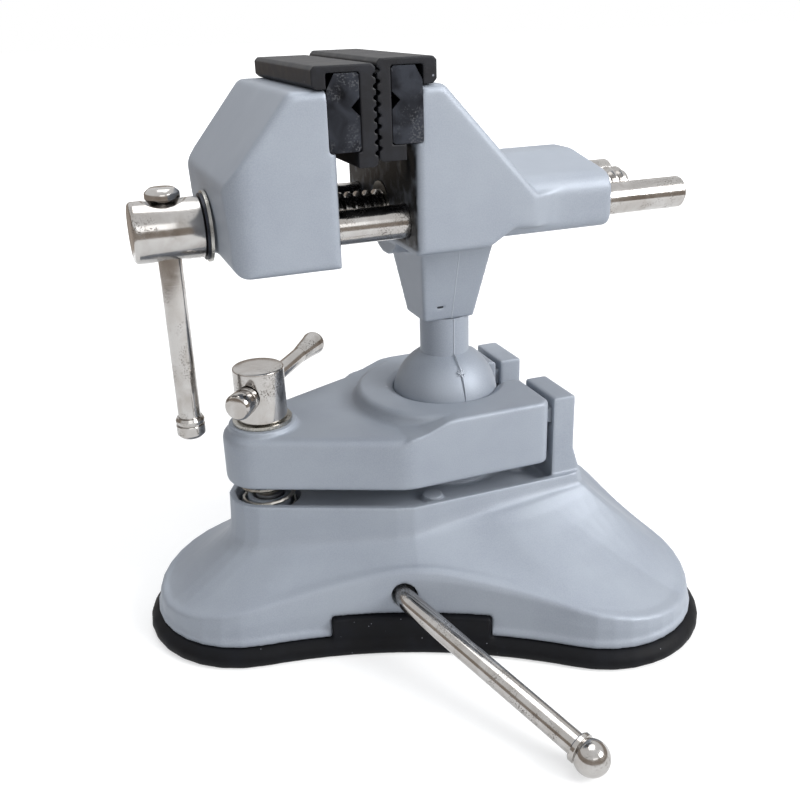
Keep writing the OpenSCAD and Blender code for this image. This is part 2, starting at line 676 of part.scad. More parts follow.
slope_end = 39.3;
module fixed_jaw() {
    color("lightsteelblue") difference() {
        union() {
            soft_across(rounded([[0, jaw_foot, 0], [fixed_foot, jaw_foot, 5], [fixed_foot + 8, axis_h - 4, 3],
                [slope_end, axis_h - 4, 0], [slope_end, axis_h + 6, 6], [fixed_top, jaw_top, 3],
                [0, jaw_top, 0]], 4), jaw_w, 2.2);
            translate([fixed_foot, 0, 0]) rotate([90, 0, 90]) soft_slab(rounded([
                [-tail_w / 2, axis_h - 7, 4], [tail_w / 2, axis_h - 7, 4],
                [tail_w / 2, axis_h + 9.4, 6.5], [5, axis_h + tail_ridge, 10],
                [-5, axis_h + tail_ridge, 10], [-tail_w / 2, axis_h + 9.4, 6.5]], 5),
                0, tail_end - fixed_foot, 0, 1.5);
            // the sides draw in to the tail
            translate([0, 0, axis_h - 4]) linear_extrude(10) polygon([for (s = [-1, 1], k = [0:3])
                let (i = s < 0 ? k : 3 - k) [slope_end + [-5, -1, 3, 9][i],
                    s * [jaw_w / 2 - 1, jaw_w / 2 - 0.2, tail_w / 2 + 0.7, tail_w / 2 - 0.2][i]]]);
            neck();
            // the round boss about the screw's nut
            translate([0, 0, axis_h]) bar_x(1, fixed_foot, nut_d + 12);
            // round casting marks above the guide rods
            for (s = [-1, 1]) translate([0, s * (rod_spacing / 2 + 1.2), axis_h + 16]) bar_x(-0.4, 1, 6.4);
        }
        // the ledge for the jaw plate
        translate([-1, -jaw_w, ledge_z]) cube([ledge + 1, 2 * jaw_w, 2 * ledge_h]);
        for (s = [-1, 1]) translate([0, s * rod_spacing / 2, axis_h])
            bar_x(-1, tail_end + 1, rod_d + 2 * run);
        translate([0, 0, axis_h]) bar_x(-1, tail_end + 1, screw_d + 0.8);
        translate([0, 0, axis_h]) bar_x(-1, nut_l, nut_d);
        translate([ball_x, 0, ball_h + post_l - 1]) cylinder(d = spigot_d + 2 * run, h = spigot_l + 1.3);
        pin_shape();
        // holes for the plate's screws
        for (s = [-1, 1]) translate([0, s * jaw_w / 4, plate_screw_z]) bar_x(-1, ledge + 8, plate_screw_d);
    }
}
nut_d = screw_d + 5;
plate_screw_z = ledge_z + 5.5;
plate_screw_d = 4;

module screw_nut() {
    color("silver") translate([0, 0, axis_h]) difference() {
        bar_x(0, nut_l, nut_d);
        bar_x(-1, nut_l + 1, screw_d + 2 * run);
    }
}

// a jaw plate: x0 is its gripping face, and dir points back to its casting
module jaw_plate(x0, dir, z0) {
    t = plate_t;
    vz = z0 + plate_h * 0.57;
    p = [[0, z0 + 0.6], [0.6, z0], [t, z0], [t, z0 + plate_h - 4], [t - 2.2, z0 + plate_h],
         [0.6, z0 + plate_h], [0, z0 + plate_h - 0.6], [0, vz + vee], [vee, vz], [0, vz - vee]];
    color("#6f7178") difference() {
        translate([x0, jaw_w / 2 - 0.25, 0]) rotate([90, 0, 0]) linear_extrude(jaw_w - 0.5)
            polygon([for (v = p) [dir * v[0], v[1]]]);
        for (s = [-1, 1]) translate([x0, s * jaw_w / 4, plate_screw_z]) rotate([0, dir * 90, 0]) {
            translate([0, 0, -1]) cylinder(d = plate_screw_d + 0.2, h = t + 2);
            translate([0, 0, -0.01]) cylinder(d1 = 2.1 * plate_screw_d, d2 = plate_screw_d + 0.2, h = 2.2);
        }
    }
}
module plate_screws(x0, dir) {
    color("dimgray") for (s = [-1, 1])
        translate([x0, s * jaw_w / 4, plate_screw_z]) rotate([0, dir * 90, 0]) difference() {
            union() {
                translate([0, 0, 0.1]) cylinder(d1 = 2 * plate_screw_d, d2 = plate_screw_d, h = 2.1);
                cylinder(d = plate_screw_d, h = plate_t + 7.5);
            }
            translate([0, 0, -1]) cylinder(d = 2.5, h = 2.6, $fn = 6);
        }
}
module fixed_jaw_plate() { jaw_plate(ledge - plate_t, 1, ledge_z); }
module fixed_plate_screws() { plate_screws(ledge - plate_t, 1); }
module moving_jaw_plate() { jaw_plate(-throat - ledge + plate_t, -1, ledge_z - 1.2); }
module moving_plate_screws() { plate_screws(-throat - ledge + plate_t, -1); }

// a rubber pad hooked over a jaw plate: face is its gripping face
module jaw_pad(face, plate_x, dir, z0, lip) {
    top = z0 + plate_h + pad_skin;
    front = abs(plate_x - face) - touch;
    back = front + touch + plate_t;
    low = z0 - 4.4;
    count = floor((top - low - 3) / pad_pitch);
    teeth = [for (i = [count - 1:-1:0]) let (z = low + 2.2 + pad_pitch * (i + 0.5))
        each [[0, z + pad_pitch * 0.26], [pad_groove, z + pad_pitch * 0.12],
              [pad_groove, z - pad_pitch * 0.12], [0, z - pad_pitch * 0.26]]];
    p = concat([[0, low + 1], [0.8, low], [front + lip, low], [front + lip, z0 - touch], [front, z0 - touch],
        [front, top - pad_skin + touch], [back + touch, top - pad_skin + touch],
        [back + touch, jaw_top + touch],
        [back + 3, jaw_top + touch], [back + 4.1, jaw_top + 1.2], [back + 4.1, top - 1],
        [back + 3.1, top], [1, top], [0, top - 1]], teeth);
    columns = round(jaw_w / pad_pitch * 0.66);
    color("#2c2e38") translate([face, 0, 0]) difference() {
        translate([0, jaw_w / 2, 0]) rotate([90, 0, 0]) linear_extrude(jaw_w)
            polygon([for (v = p) [dir * v[0], v[1]]]);
        // the upright grooves between the blocks
        for (i = [1:columns - 1]) translate([0, jaw_w * (i / columns - 0.5), (low + top) / 2])
            cube([2 * pad_groove, 0.8, top - low - 3.6], center = true);
    }
}
module fixed_jaw_pad() { jaw_pad(seam + touch, ledge - plate_t, 1, ledge_z, 4); }
module moving_jaw_pad() { jaw_pad(seam - touch, -throat - ledge + plate_t, -1, ledge_z - 1.2, 1.2); }

// ---- moving jaw ----
module moving_jaw() {
    x1 = -throat;
    x0 = moving_back;
    color("lightsteelblue") difference() {
        union() {
          // the flat that the thrust washer turns on
          translate([0, 0, axis_h]) bar_x(x0, x0 + 5, 2 * jaw_drop - 1.6);
          intersection() {
            soft_across(rounded([[x0 + 1, jaw_foot - 0.9, 4.5], [x1, jaw_foot - 0.9, 0], [x1, jaw_top, 0],
                [x1 - 12.4, jaw_top, 3], [x0, axis_h + 15.3, 5], [x0 + 0.8, axis_h + 3, 12]], 5), jaw_w, 2.2);
            translate([0, 0, jaw_foot - 5]) linear_extrude(80) polygon(rounded([[x0 - 1, -jaw_w / 2, 9],
                [x1 + 1, -jaw_w / 2, 0], [x1 + 1, jaw_w / 2, 0], [x0 - 1, jaw_w / 2, 9]], 8));
          }
        }
        translate([x1 - ledge, -jaw_w, ledge_z - 1.2]) cube([ledge + 1, 2 * jaw_w, 2 * ledge_h]);
        for (s = [-1, 1]) translate([0, s * rod_spacing / 2, axis_h]) bar_x(x1 - rod_seat, x1 + 1, rod_d);
        translate([0, 0, axis_h]) bar_x(x0 - 2, x1 + 1, screw_d + 2 * run);
        for (s = [-1, 1]) translate([x1 - rod_seat / 2, s * rod_spacing / 2, jaw_foot - 2])
            cylinder(d = rod_pin_d, h = rod_pin_l + 2);
        for (s = [-1, 1]) translate([0, s * jaw_w / 4, plate_screw_z])
            bar_x(x1 - ledge - 8, x1 + 1, plate_screw_d);
    }
}

module guide_rod(s) {
    l = throat + rod_seat + tail_end + rod_end;
    r = rod_d / 2;
    color("silver") translate([-throat - rod_seat, s * rod_spacing / 2, axis_h]) rotate([0, 90, 0])
        difference() {
            turned([[0, 0], [r, 0], [r, l - 1], [r - 1, l], [0, l]]);
            translate([0, 0, rod_seat / 2]) rotate([0, 90, 0])
                cylinder(d = rod_pin_d, h = 2 * rod_d, center = true);
        }
}
module guide_rod_near() { guide_rod(-1); }
module guide_rod_far() { guide_rod(1); }

// hollow spring pins, driven in from below
rod_pin_d = 4;
rod_pin_l = 20;
module rod_pins() {
    color("dimgray") for (s = [-1, 1])
        translate([-throat - rod_seat / 2, s * rod_spacing / 2, jaw_foot - 0.5]) difference() {
            cylinder(d = rod_pin_d, h = rod_pin_l);
            translate([0, 0, -1]) cylinder(d = 0.4 * rod_pin_d, h = rod_pin_l + 2, $fn = 24);
        }
}

module thrust_washer() {
    color("silver") translate([0, 0, axis_h]) difference() {
        bar_x(moving_back - 0.9, moving_back, head_d + 3);
        bar_x(moving_back - 2, moving_back + 2, screw_d + 2 * run);
    }
}

module spring_washer() {
    color("dimgray") translate([0, 0, axis_h]) difference() {
        bar_x(moving_back - 1.7, moving_back - 0.9, head_d + 1.6);
        bar_x(moving_back - 3, moving_back + 2, screw_d + 2 * run);
    }
}

// depth of the clip's groove in the vise screw
clip_groove = 0.7;
module screw_clip() {
    color("dimgray") translate([0, 0, axis_h]) difference() {
        bar_x(-throat + 0.1, -throat + 1.2, screw_d + 5);
        bar_x(-throat - 1, -throat + 2, screw_d - 2 * clip_groove + 2 * run);
        translate([-throat - 1, -(screw_d - 2.6) / 2, -screw_d]) cube([3, screw_d - 2.6, screw_d]);
    }
}

module vise_screw() {
    r = head_d / 2;
    color("silver") difference() {
        translate([screw_back - head_l, 0, axis_h]) rotate([0, 90, 0]) {
            l = head_l + tail_end + screw_end - screw_back;
            g = head_l - throat - screw_back;
            s = screw_d / 2;
            turned([[0, 0], [r - 1.6, 0], [r, 1.6], [r, head_l - 0.6], [r - 0.6, head_l], [s, head_l],
                [s, g + 0.05], [s - clip_groove, g + 0.05], [s - clip_groove, g + 1.25], [s, g + 1.25],
                [s, l - 1.2], [s - 1.2, l], [0, l]]);
        }
        translate([handle_x, 0, axis_h - 20]) cylinder(d = bar_d + 2 * run, h = 40);
        translate([handle_x, 0, axis_h + r - 2.6]) cylinder(d1 = bar_d, d2 = bar_d + 6.2, h = 3.1);
        translate([handle_x, 0, axis_h - r - 0.5]) cylinder(d1 = bar_d + 5.2, d2 = bar_d, h = 2.6);
    }
}

// the bar hangs with its top knob seated in the screw's head
top_knob_z = axis_h + head_d / 2 + 0.3;
bar_top = top_knob_z + 1.5;
module handle_bar() {
    color("silver") translate([handle_x, 0, bar_top - bar_l]) cylinder(d = bar_d, h = bar_l);
}

module handle_knob_top() {
    r = bar_d / 2 + 1.6;
    color("silver") translate([handle_x, 0, top_knob_z]) difference() {
        turned([[0, -2], [bar_d / 2 + 0.25, -2], [r, 0], [r, 1.7], [r - 1.3, 3], [0, 3.3]]);
        translate([0, 0, -3]) cylinder(d = bar_d, h = bar_top - top_knob_z + 3);
    }
}

module handle_knob_bottom() {
    r = bar_knob_d / 2;
    color("silver") translate([handle_x, 0, bar_top - bar_l]) difference() {
        turned([[0, -2.5], [r - 1.2, -2.5], [r, -1.3], [r, 3.6], [r - 0.8, 4.4], [0, 4.4]]);
        cylinder(d = bar_d, h = 6);
    }
}

base_casting();
suction_pad();
pad_lift_plate();
pad_lift_yoke();
suction_lever();
lever_cam();
lever_ball();
lever_clip();
clamp_nut();
clamp_spring();
clamp_plate();
clamp_washer();
clamp_screw();
clamp_bar();
clamp_bar_knob_near();
clamp_bar_knob_far();
ball_stem();
stem_pin();
fixed_jaw();
fixed_jaw_plate();
fixed_plate_screws();
fixed_jaw_pad();
screw_nut();
moving_jaw();
moving_jaw_plate();
moving_plate_screws();
moving_jaw_pad();
guide_rod_near();
guide_rod_far();
rod_pins();
thrust_washer();
spring_washer();
screw_clip();
vise_screw();
handle_bar();
handle_knob_top();
handle_knob_bottom();
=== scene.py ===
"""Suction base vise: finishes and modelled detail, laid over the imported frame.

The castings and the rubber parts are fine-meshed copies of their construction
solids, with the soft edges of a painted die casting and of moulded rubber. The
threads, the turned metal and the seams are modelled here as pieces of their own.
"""

from __future__ import annotations

import json
import logging
import math
from dataclasses import dataclass, field
from enum import Enum
from typing import Any, Callable, Iterable

import bpy
from mathutils import Matrix, Vector

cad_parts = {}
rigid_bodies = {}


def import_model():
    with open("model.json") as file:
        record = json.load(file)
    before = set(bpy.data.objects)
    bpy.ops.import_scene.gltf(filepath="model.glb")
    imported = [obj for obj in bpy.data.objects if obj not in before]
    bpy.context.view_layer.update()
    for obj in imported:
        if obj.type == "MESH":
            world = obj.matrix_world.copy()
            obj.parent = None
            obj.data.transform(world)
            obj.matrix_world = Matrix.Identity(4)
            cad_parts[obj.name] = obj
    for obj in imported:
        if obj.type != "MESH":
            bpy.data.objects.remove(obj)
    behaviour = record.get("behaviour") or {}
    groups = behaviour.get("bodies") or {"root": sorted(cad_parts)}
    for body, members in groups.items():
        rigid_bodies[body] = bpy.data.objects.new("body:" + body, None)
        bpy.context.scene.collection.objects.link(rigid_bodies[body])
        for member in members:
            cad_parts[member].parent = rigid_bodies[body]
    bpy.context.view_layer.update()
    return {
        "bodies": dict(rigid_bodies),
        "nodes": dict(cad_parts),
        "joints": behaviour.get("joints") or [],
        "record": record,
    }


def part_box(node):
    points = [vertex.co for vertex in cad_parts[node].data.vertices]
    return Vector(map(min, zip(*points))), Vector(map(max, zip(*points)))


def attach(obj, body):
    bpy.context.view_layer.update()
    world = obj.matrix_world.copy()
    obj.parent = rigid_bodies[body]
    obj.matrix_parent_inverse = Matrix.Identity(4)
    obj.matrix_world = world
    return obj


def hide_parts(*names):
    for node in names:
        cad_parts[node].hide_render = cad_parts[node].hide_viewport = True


LOG = logging.getLogger("vise")
MM = 0.001
PHOTO_SIZE = 800.0
BOOLEAN_SOLVER = "EXACT"


class Slot(Enum):
    """The record's material slots."""

    CASTING = "casting"
    PAD_RUBBER = "pad_rubber"
    JAW_RUBBER = "jaw_rubber"
    PLATED = "plated_steel"
    ZINC = "zinc_steel"
    DARK = "dark_steel"


class Axis(Enum):
    """The frame's axes, by their index."""

    X = 0
    Y = 1
    Z = 2


# ---- small tools ----
def srgb(code: str) -> tuple[float, float, float, float]:
    """Turn an sRGB hex colour into the linear colour that a shader takes.

    Args:
        code: The colour, such as "#9FA5B2".

    Returns:
        Red, green, blue and alpha, linear.
    """
    parts = [int(code[i:i + 2], 16) / 255 for i in (1, 3, 5)]
    linear = [c / 12.92 if c <= 0.04045 else ((c + 0.055) / 1.055) ** 2.4 for c in parts]
    return (linear[0], linear[1], linear[2], 1.0)


def add_node(tree: bpy.types.NodeTree, kind: str, settings: dict[str, Any] | None = None,
             links: dict[str, bpy.types.NodeSocket] | None = None) -> bpy.types.Node:
    """Add a node with its settings and its incoming links.

    Args:
        tree: The node tree to add to.
        kind: The node's type name, without the ShaderNode prefix.
        settings: Values for its properties or, where it has none of that name, its input sockets.
        links: Input socket name to the socket that feeds it.

    Returns:
        The new node.
    """
    node = tree.nodes.new("ShaderNode" + kind)
    for name, value in (settings or {}).items():
        if hasattr(node, name):
            setattr(node, name, value)
        else:
            node.inputs[name].default_value = value
    for name, socket in (links or {}).items():
        tree.links.new(socket, node.inputs[name])
    return node


def clear_selection() -> None:
    """Deselect every object, as an operator acts on all that is selected."""
    bpy.ops.object.select_all(action="DESELECT")


def pick(obj: bpy.types.Object) -> bpy.types.Object:
    """Make obj the one selected and active object."""
    clear_selection()
    obj.select_set(True)
    bpy.context.view_layer.objects.active = obj
    return obj


def modify(obj: bpy.types.Object, kind: str, **settings: Any) -> None:
    """Add a modifier to obj and apply it.

    Args:
        obj: The object to change.
        kind: The modifier's type.
        **settings: Values for the modifier's properties.
    """
    pick(obj)
    modifier = obj.modifiers.new(kind.title(), kind)
    for name, value in settings.items():
        setattr(modifier, name, value)
    bpy.ops.object.modifier_apply(modifier=modifier.name)


def settle(obj: bpy.types.Object, name: str) -> bpy.types.Object:
    """Put the object's place into its mesh and give it its name.

    Args:
        obj: The object, wherever it stands.
        name: The piece's name.

    Returns:
        The same object, at the origin, unturned and unscaled.
    """
    pick(obj)
    bpy.ops.object.transform_apply(location=True, rotation=True, scale=True)
    obj.name = name
    obj.data.name = name
    return obj


def shade(obj: bpy.types.Object, angle: float = 35.0) -> None:
    """Shade obj smooth, apart from edges sharper than angle degrees."""
    pick(obj)
    bpy.ops.object.shade_smooth_by_angle(angle=math.radians(angle))


def recalculate(obj: bpy.types.Object) -> None:
    """Merge obj's doubles and point its faces outwards."""
    pick(obj)
    bpy.ops.object.mode_set(mode="EDIT")
    bpy.ops.mesh.select_all(action="SELECT")
    bpy.ops.mesh.remove_doubles(threshold=0.004 * MM)
    bpy.ops.mesh.normals_make_consistent(inside=False)
    bpy.ops.object.mode_set(mode="OBJECT")


def select_edges(obj: bpy.types.Object, wanted: Callable[[Vector, Vector], bool]) -> None:
    """Select the edges whose two ends pass the test, and leave obj in edit mode.

    Args:
        obj: The mesh object.
        wanted: Says of an edge's two ends, in the frame's metres, whether it is wanted.
    """
    pick(obj)
    bpy.ops.object.mode_set(mode="EDIT")
    bpy.ops.mesh.select_mode(type="EDGE")
    bpy.ops.mesh.select_all(action="DESELECT")
    bpy.ops.object.mode_set(mode="OBJECT")
    place = obj.matrix_world
    points = [place @ v.co for v in obj.data.vertices]
    for edge in obj.data.edges:
        edge.select = wanted(points[edge.vertices[0]], points[edge.vertices[1]])
    bpy.ops.object.mode_set(mode="EDIT")


def bevel_edges(obj: bpy.types.Object, width: float, segments: int,
                wanted: Callable[[Vector, Vector], bool]) -> None:
    """Bevel the edges whose ends pass the test.

    Args:
        obj: The mesh object.
        width: The bevel's width in metres.
        segments: Its number of segments.
        wanted: The test, as select_edges takes it.
    """
    select_edges(obj, wanted)
    bpy.ops.mesh.bevel(offset=width, segments=segments, affect="EDGES")
    bpy.ops.object.mode_set(mode="OBJECT")


def add_cylinder(radius: float, depth: float, centre: Iterable[float], axis: Axis = Axis.Z,
                 sides: int = 64, top_radius: float | None = None) -> bpy.types.Object:
    """Add a cylinder or a cone along one of the frame's axes.

    Args:
        radius: Its radius, or a cone's at its lower end.
        depth: Its length.
        centre: Its middle.
        axis: The axis that it lies along.
        sides: Its number of sides.
        top_radius: A cone's radius at its upper end.

    Returns:
        The new object.
    """
    turn = {Axis.X: (0, math.pi / 2, 0), Axis.Y: (-math.pi / 2, 0, 0), Axis.Z: (0, 0, 0)}[axis]
    clear_selection()
    bpy.ops.mesh.primitive_cone_add(
        vertices=sides, radius1=radius, radius2=radius if top_radius is None else top_radius,
        depth=depth, location=tuple(centre), rotation=turn)
    return bpy.context.object


def lathe(profile: Iterable[tuple[float, float]], steps: int = 72) -> bpy.types.Object:
    """Turn a profile round Z.

    Args:
        profile: Points of radius and height in millimetres, from the axis and back to it.
        steps: Its number of sides.

    Returns:
        The turned piece, closed.
    """
    points = [(radius * MM, 0.0, height * MM) for radius, height in profile]
    mesh = bpy.data.meshes.new("profile")
    mesh.from_pydata(points, [(i, i + 1) for i in range(len(points) - 1)], [])
    obj = bpy.data.objects.new("profile", mesh)
    bpy.context.collection.objects.link(obj)
    modify(obj, "SCREW", axis="Z", angle=2 * math.pi, steps=steps, render_steps=steps,
           use_merge_vertices=True, merge_threshold=0.01 * MM)
    recalculate(obj)
    return obj


def aim(obj: bpy.types.Object, place: Iterable[float], ahead: Iterable[float]) -> bpy.types.Object:
    """Stand obj at a place with its Z along a direction."""
    obj.location = Vector(tuple(place))
    obj.rotation_euler = Vector(tuple(ahead)).to_track_quat("Z", "Y").to_euler()
    return obj


def round_edge(radius: float, height: float, size: float, up: int = 1, steps: int = 4) -> list[tuple[float, float]]:
    """Give the points of a rounded outer edge for a lathe profile, all in millimetres.

    Args:
        radius: The radius of the cylinder that the edge ends.
        height: The height of its end face.
        size: The rounding's radius.
        up: 1 for an edge at the upper end, -1 at the lower end.
        steps: Its number of facets.

    Returns:
        The points, in order of rising height.
    """
    points = [(radius - size + size * math.cos(a), height - up * size + up * size * math.sin(a))
              for a in (math.pi / 2 * i / steps for i in range(steps + 1))]
    return points if up > 0 else points[::-1]


def cut(obj: bpy.types.Object, tool: bpy.types.Object) -> None:
    """Cut the tool out of obj, and remove the tool."""
    pick(tool)
    bpy.ops.object.transform_apply(location=True, rotation=True, scale=True)
    modify(obj, "BOOLEAN", operation="DIFFERENCE", solver=BOOLEAN_SOLVER, object=tool)
    bpy.data.objects.remove(tool)


def join(pieces: list[bpy.types.Object], name: str) -> bpy.types.Object:
    """Join pieces into one object.

    Args:
        pieces: The objects, each with its place.
        name: The joined piece's name.

    Returns:
        The joined object.
    """
    for piece in pieces:
        settle(piece, name)
    clear_selection()
    for piece in pieces:
        piece.select_set(True)
    bpy.context.view_layer.objects.active = pieces[0]
    bpy.ops.object.join()
    return settle(pieces[0], name)


# ---- finishes ----
@dataclass(frozen=True)
class Finish:
    """What every finish has: a name, a slot and a way to build its material."""

    name: str
    slot: Slot

    def start(self) -> tuple[bpy.types.Material, bpy.types.NodeTree, bpy.types.Node, bpy.types.NodeSocket]:
        """Make an empty material.

        Returns:
            The material, its tree, its Principled shader and the socket of Object coordinates.
        """
        material = bpy.data.materials.new(self.name)
        material.use_nodes = True
        tree = material.node_tree
        tree.nodes.clear()
        shader = add_node(tree, "BsdfPrincipled")
        add_node(tree, "OutputMaterial", links={"Surface": shader.outputs["BSDF"]})
        place = add_node(tree, "TexCoord")
        return material, tree, shader, place.outputs["Object"]

    def build(self) -> bpy.types.Material:
        """Build the material."""
        raise NotImplementedError


@dataclass(frozen=True)
class SprayedCasting(Finish):
    """Grey metallic enamel sprayed on a zinc die casting.

    The fine flake gives a broad satin sheen, the spray leaves a faint orange
    peel, the casting under it shows as slow, shallow unevenness, and where the
    paint is thin on an edge it turns a little paler.
    """

    colour: str = "#959CA6"
    worn: str = "#8D949F"
    edge: str = "#ABB1BA"
    # a box of the jaws' throat and its colour, for painted shade: near black where the shadow between the jaws falls
    throat_shade_colour: str = "#17181A"
    throat_shade: tuple[tuple[float, float, float], tuple[float, float, float]] | None = None
    peel: float = 0.9 * MM
    patch: float = 22 * MM
    flake: float = 0.35 * MM
    pit: float = 4.5 * MM
    shade_rag: float = 5 * MM
    flake_share: float = 0.32
    sheen: tuple[float, float] = (0.44, 0.60)
    metallic: float = 0.25

    def throat_shade_share(self, tree: bpy.types.NodeTree, place: bpy.types.NodeSocket) -> bpy.types.NodeSocket:
        """Say how much painted shade a place gets: 1 inside the shaded box, 0 outside it, ragged at its border.

        Args:
            tree: The material's tree.
            place: The socket of Object coordinates.

        Returns:
            The socket of the painted shade's share.
        """
        low, high = self.throat_shade
        rag = add_node(tree, "TexNoise", {"Scale": 1 / self.shade_rag, "Detail": 3.0}, {"Vector": place})
        shift = add_node(tree, "MapRange", {"To Min": -0.9 * MM, "To Max": 0.9 * MM}, {"Value": rag.outputs["Fac"]})
        parts = add_node(tree, "SeparateXYZ", links={"Vector": place})
        share = None
        for name, start, end in zip("XYZ", low, high):
            moved = add_node(tree, "Math", {"operation": "ADD"}, {"Value": parts.outputs[name]})
            tree.links.new(shift.outputs["Result"], moved.inputs[1])
            middle, half = (start + end) / 2 * MM, (end - start) / 2 * MM
            away = add_node(tree, "Math", {"operation": "SUBTRACT"}, {"Value": moved.outputs["Value"]})
            away.inputs[1].default_value = middle
            size = add_node(tree, "Math", {"operation": "ABSOLUTE"}, {"Value": away.outputs["Value"]})
            inside = add_node(tree, "MapRange", {"From Min": half - 0.5 * MM, "From Max": half + 0.4 * MM,
                                                 "To Min": 1.0, "To Max": 0.0}, {"Value": size.outputs["Value"]})
            if share is None:
                share = inside.outputs["Result"]
            else:
                both = add_node(tree, "Math", {"operation": "MULTIPLY"}, {"Value": share})
                tree.links.new(inside.outputs["Result"], both.inputs[1])
                share = both.outputs["Value"]
        return share

    def build(self) -> bpy.types.Material:
        """Build the material."""
        material, tree, shader, place = self.start()
        patches = add_node(tree, "TexNoise", {"Scale": 1 / self.patch, "Detail": 3.0, "Roughness": 0.55},
                           {"Vector": place})
        flakes = add_node(tree, "TexNoise", {"Scale": 1 / self.flake, "Detail": 1.0}, {"Vector": place})
        tone = add_node(tree, "ValToRGB", links={"Fac": patches.outputs["Fac"]})
        tone.color_ramp.elements[0].position = 0.35
        tone.color_ramp.elements[0].color = srgb(self.worn)
        tone.color_ramp.elements[1].position = 0.65
        tone.color_ramp.elements[1].color = srgb(self.colour)
        # paint draws back from an edge, where the casting is convex
        shape = add_node(tree, "NewGeometry")
        thin = add_node(tree, "MapRange", {"From Min": 0.53, "From Max": 0.62}, {"Value": shape.outputs["Pointiness"]})
        edged = add_node(tree, "Mix", {"data_type": "RGBA"}, {"Factor": thin.outputs["Result"]})
        tree.links.new(tone.outputs["Color"], edged.inputs[6])
        edged.inputs[7].default_value = srgb(self.edge)
        glint = add_node(tree, "MapRange", {"From Min": 0.3, "From Max": 0.7, "To Max": self.flake_share},
                         {"Value": flakes.outputs["Fac"]})
        flaked = add_node(tree, "Mix", {"data_type": "RGBA"}, {"Factor": glint.outputs["Result"]})
        tree.links.new(edged.outputs[2], flaked.inputs[6])
        flaked.inputs[7].default_value = srgb(self.edge)
        skin_colour = flaked.outputs[2]
        # painted shade: the jaws' throat is darkened to near black, in place of the shadow that falls there
        if self.throat_shade:
            shaded = add_node(tree, "Mix", {"data_type": "RGBA"}, {"Factor": self.throat_shade_share(tree, place)})
            tree.links.new(skin_colour, shaded.inputs[6])
            shaded.inputs[7].default_value = srgb(self.throat_shade_colour)
            skin_colour = shaded.outputs[2]
        tree.links.new(skin_colour, shader.inputs["Base Color"])
        sheen = add_node(tree, "MapRange", {"From Min": 0.3, "From Max": 0.7, "To Min": self.sheen[0],
                                            "To Max": self.sheen[1]}, {"Value": flakes.outputs["Fac"]})
        tree.links.new(sheen.outputs["Result"], shader.inputs["Roughness"])
        shader.inputs["Metallic"].default_value = self.metallic
        pits = add_node(tree, "TexVoronoi", {"Scale": 1 / self.pit, "Randomness": 1.0}, {"Vector": place})
        holes = add_node(tree, "MapRange", {"From Min": 0.02, "From Max": 0.07}, {"Value": pits.outputs["Distance"]})
        peel = add_node(tree, "TexNoise", {"Scale": 1 / self.peel, "Detail": 2.0}, {"Vector": place})
        waves = add_node(tree, "Bump", {"Strength": 0.3, "Distance": 0.2 * MM}, {"Height": patches.outputs["Fac"]})
        skin = add_node(tree, "Bump", {"Strength": 0.2, "Distance": 0.05 * MM},
                        {"Height": peel.outputs["Fac"], "Normal": waves.outputs["Normal"]})
        bump = add_node(tree, "Bump", {"Strength": 0.25, "Distance": 0.12 * MM},
                        {"Height": holes.outputs["Result"], "Normal": skin.outputs["Normal"]})
        tree.links.new(bump.outputs["Normal"], shader.inputs["Normal"])
        return material


@dataclass(frozen=True)
class ThroatShadedCasting(SprayedCasting):
    """The enamel of a jaw, with painted shade: near black on the faces round the screw, where the shadow between the
    jaws falls.
    """

    throat_shade: tuple[tuple[float, float, float], tuple[float, float, float]] = ((-23.4, -31.4, 128.0), (0.5, 31.4, 158.0))


@dataclass(frozen=True)
class MouldedRubber(Finish):
    """Nitrile rubber from a textured mould, with a bluish bloom and specks of dust.

    The mould's fine grain scatters the light, so edges show as a soft grey
    line, the bloom leaves paler patches on what is handled, and pale dust
    clings to it here and there.
    """

    colour: str = "#090A0E"
    bloom: str = "#0F1117"
    dust: str = "#8E9099"
    grain: float = 0.5 * MM
    patch: float = 9 * MM
    speck: float = 3.4 * MM
    roughness: float = 0.56
    shine: float = 0.16

    def build(self) -> bpy.types.Material:
        """Build the material."""
        material, tree, shader, place = self.start()
        patches = add_node(tree, "TexNoise", {"Scale": 1 / self.patch, "Detail": 4.0}, {"Vector": place})
        ramp = add_node(tree, "ValToRGB", links={"Fac": patches.outputs["Fac"]})
        ramp.color_ramp.elements[0].position = 0.42
        ramp.color_ramp.elements[0].color = srgb(self.colour)
        ramp.color_ramp.elements[1].position = 0.72
        ramp.color_ramp.elements[1].color = srgb(self.bloom)
        shader.inputs["Specular IOR Level"].default_value = self.shine
        specks = add_node(tree, "TexVoronoi", {"Scale": 1 / self.speck}, {"Vector": place})
        dusty = add_node(tree, "MapRange", {"From Min": 0.030, "From Max": 0.055, "To Min": 0.8, "To Max": 0.0},
                         {"Value": specks.outputs["Distance"]})
        coloured = add_node(tree, "Mix", {"data_type": "RGBA"}, {"Factor": dusty.outputs["Result"]})
        tree.links.new(ramp.outputs["Color"], coloured.inputs[6])
        coloured.inputs[7].default_value = srgb(self.dust)
        tree.links.new(coloured.outputs[2], shader.inputs["Base Color"])
        gloss = add_node(tree, "MapRange", {"To Min": self.roughness - 0.08, "To Max": self.roughness + 0.12},
                         {"Value": patches.outputs["Fac"]})
        tree.links.new(gloss.outputs["Result"], shader.inputs["Roughness"])
        grain = add_node(tree, "TexNoise", {"Scale": 1 / self.grain, "Detail": 2.0}, {"Vector": place})
        bump = add_node(tree, "Bump", {"Strength": 0.3, "Distance": 0.08 * MM}, {"Height": grain.outputs["Fac"]})
        tree.links.new(bump.outputs["Normal"], shader.inputs["Normal"])
        return material


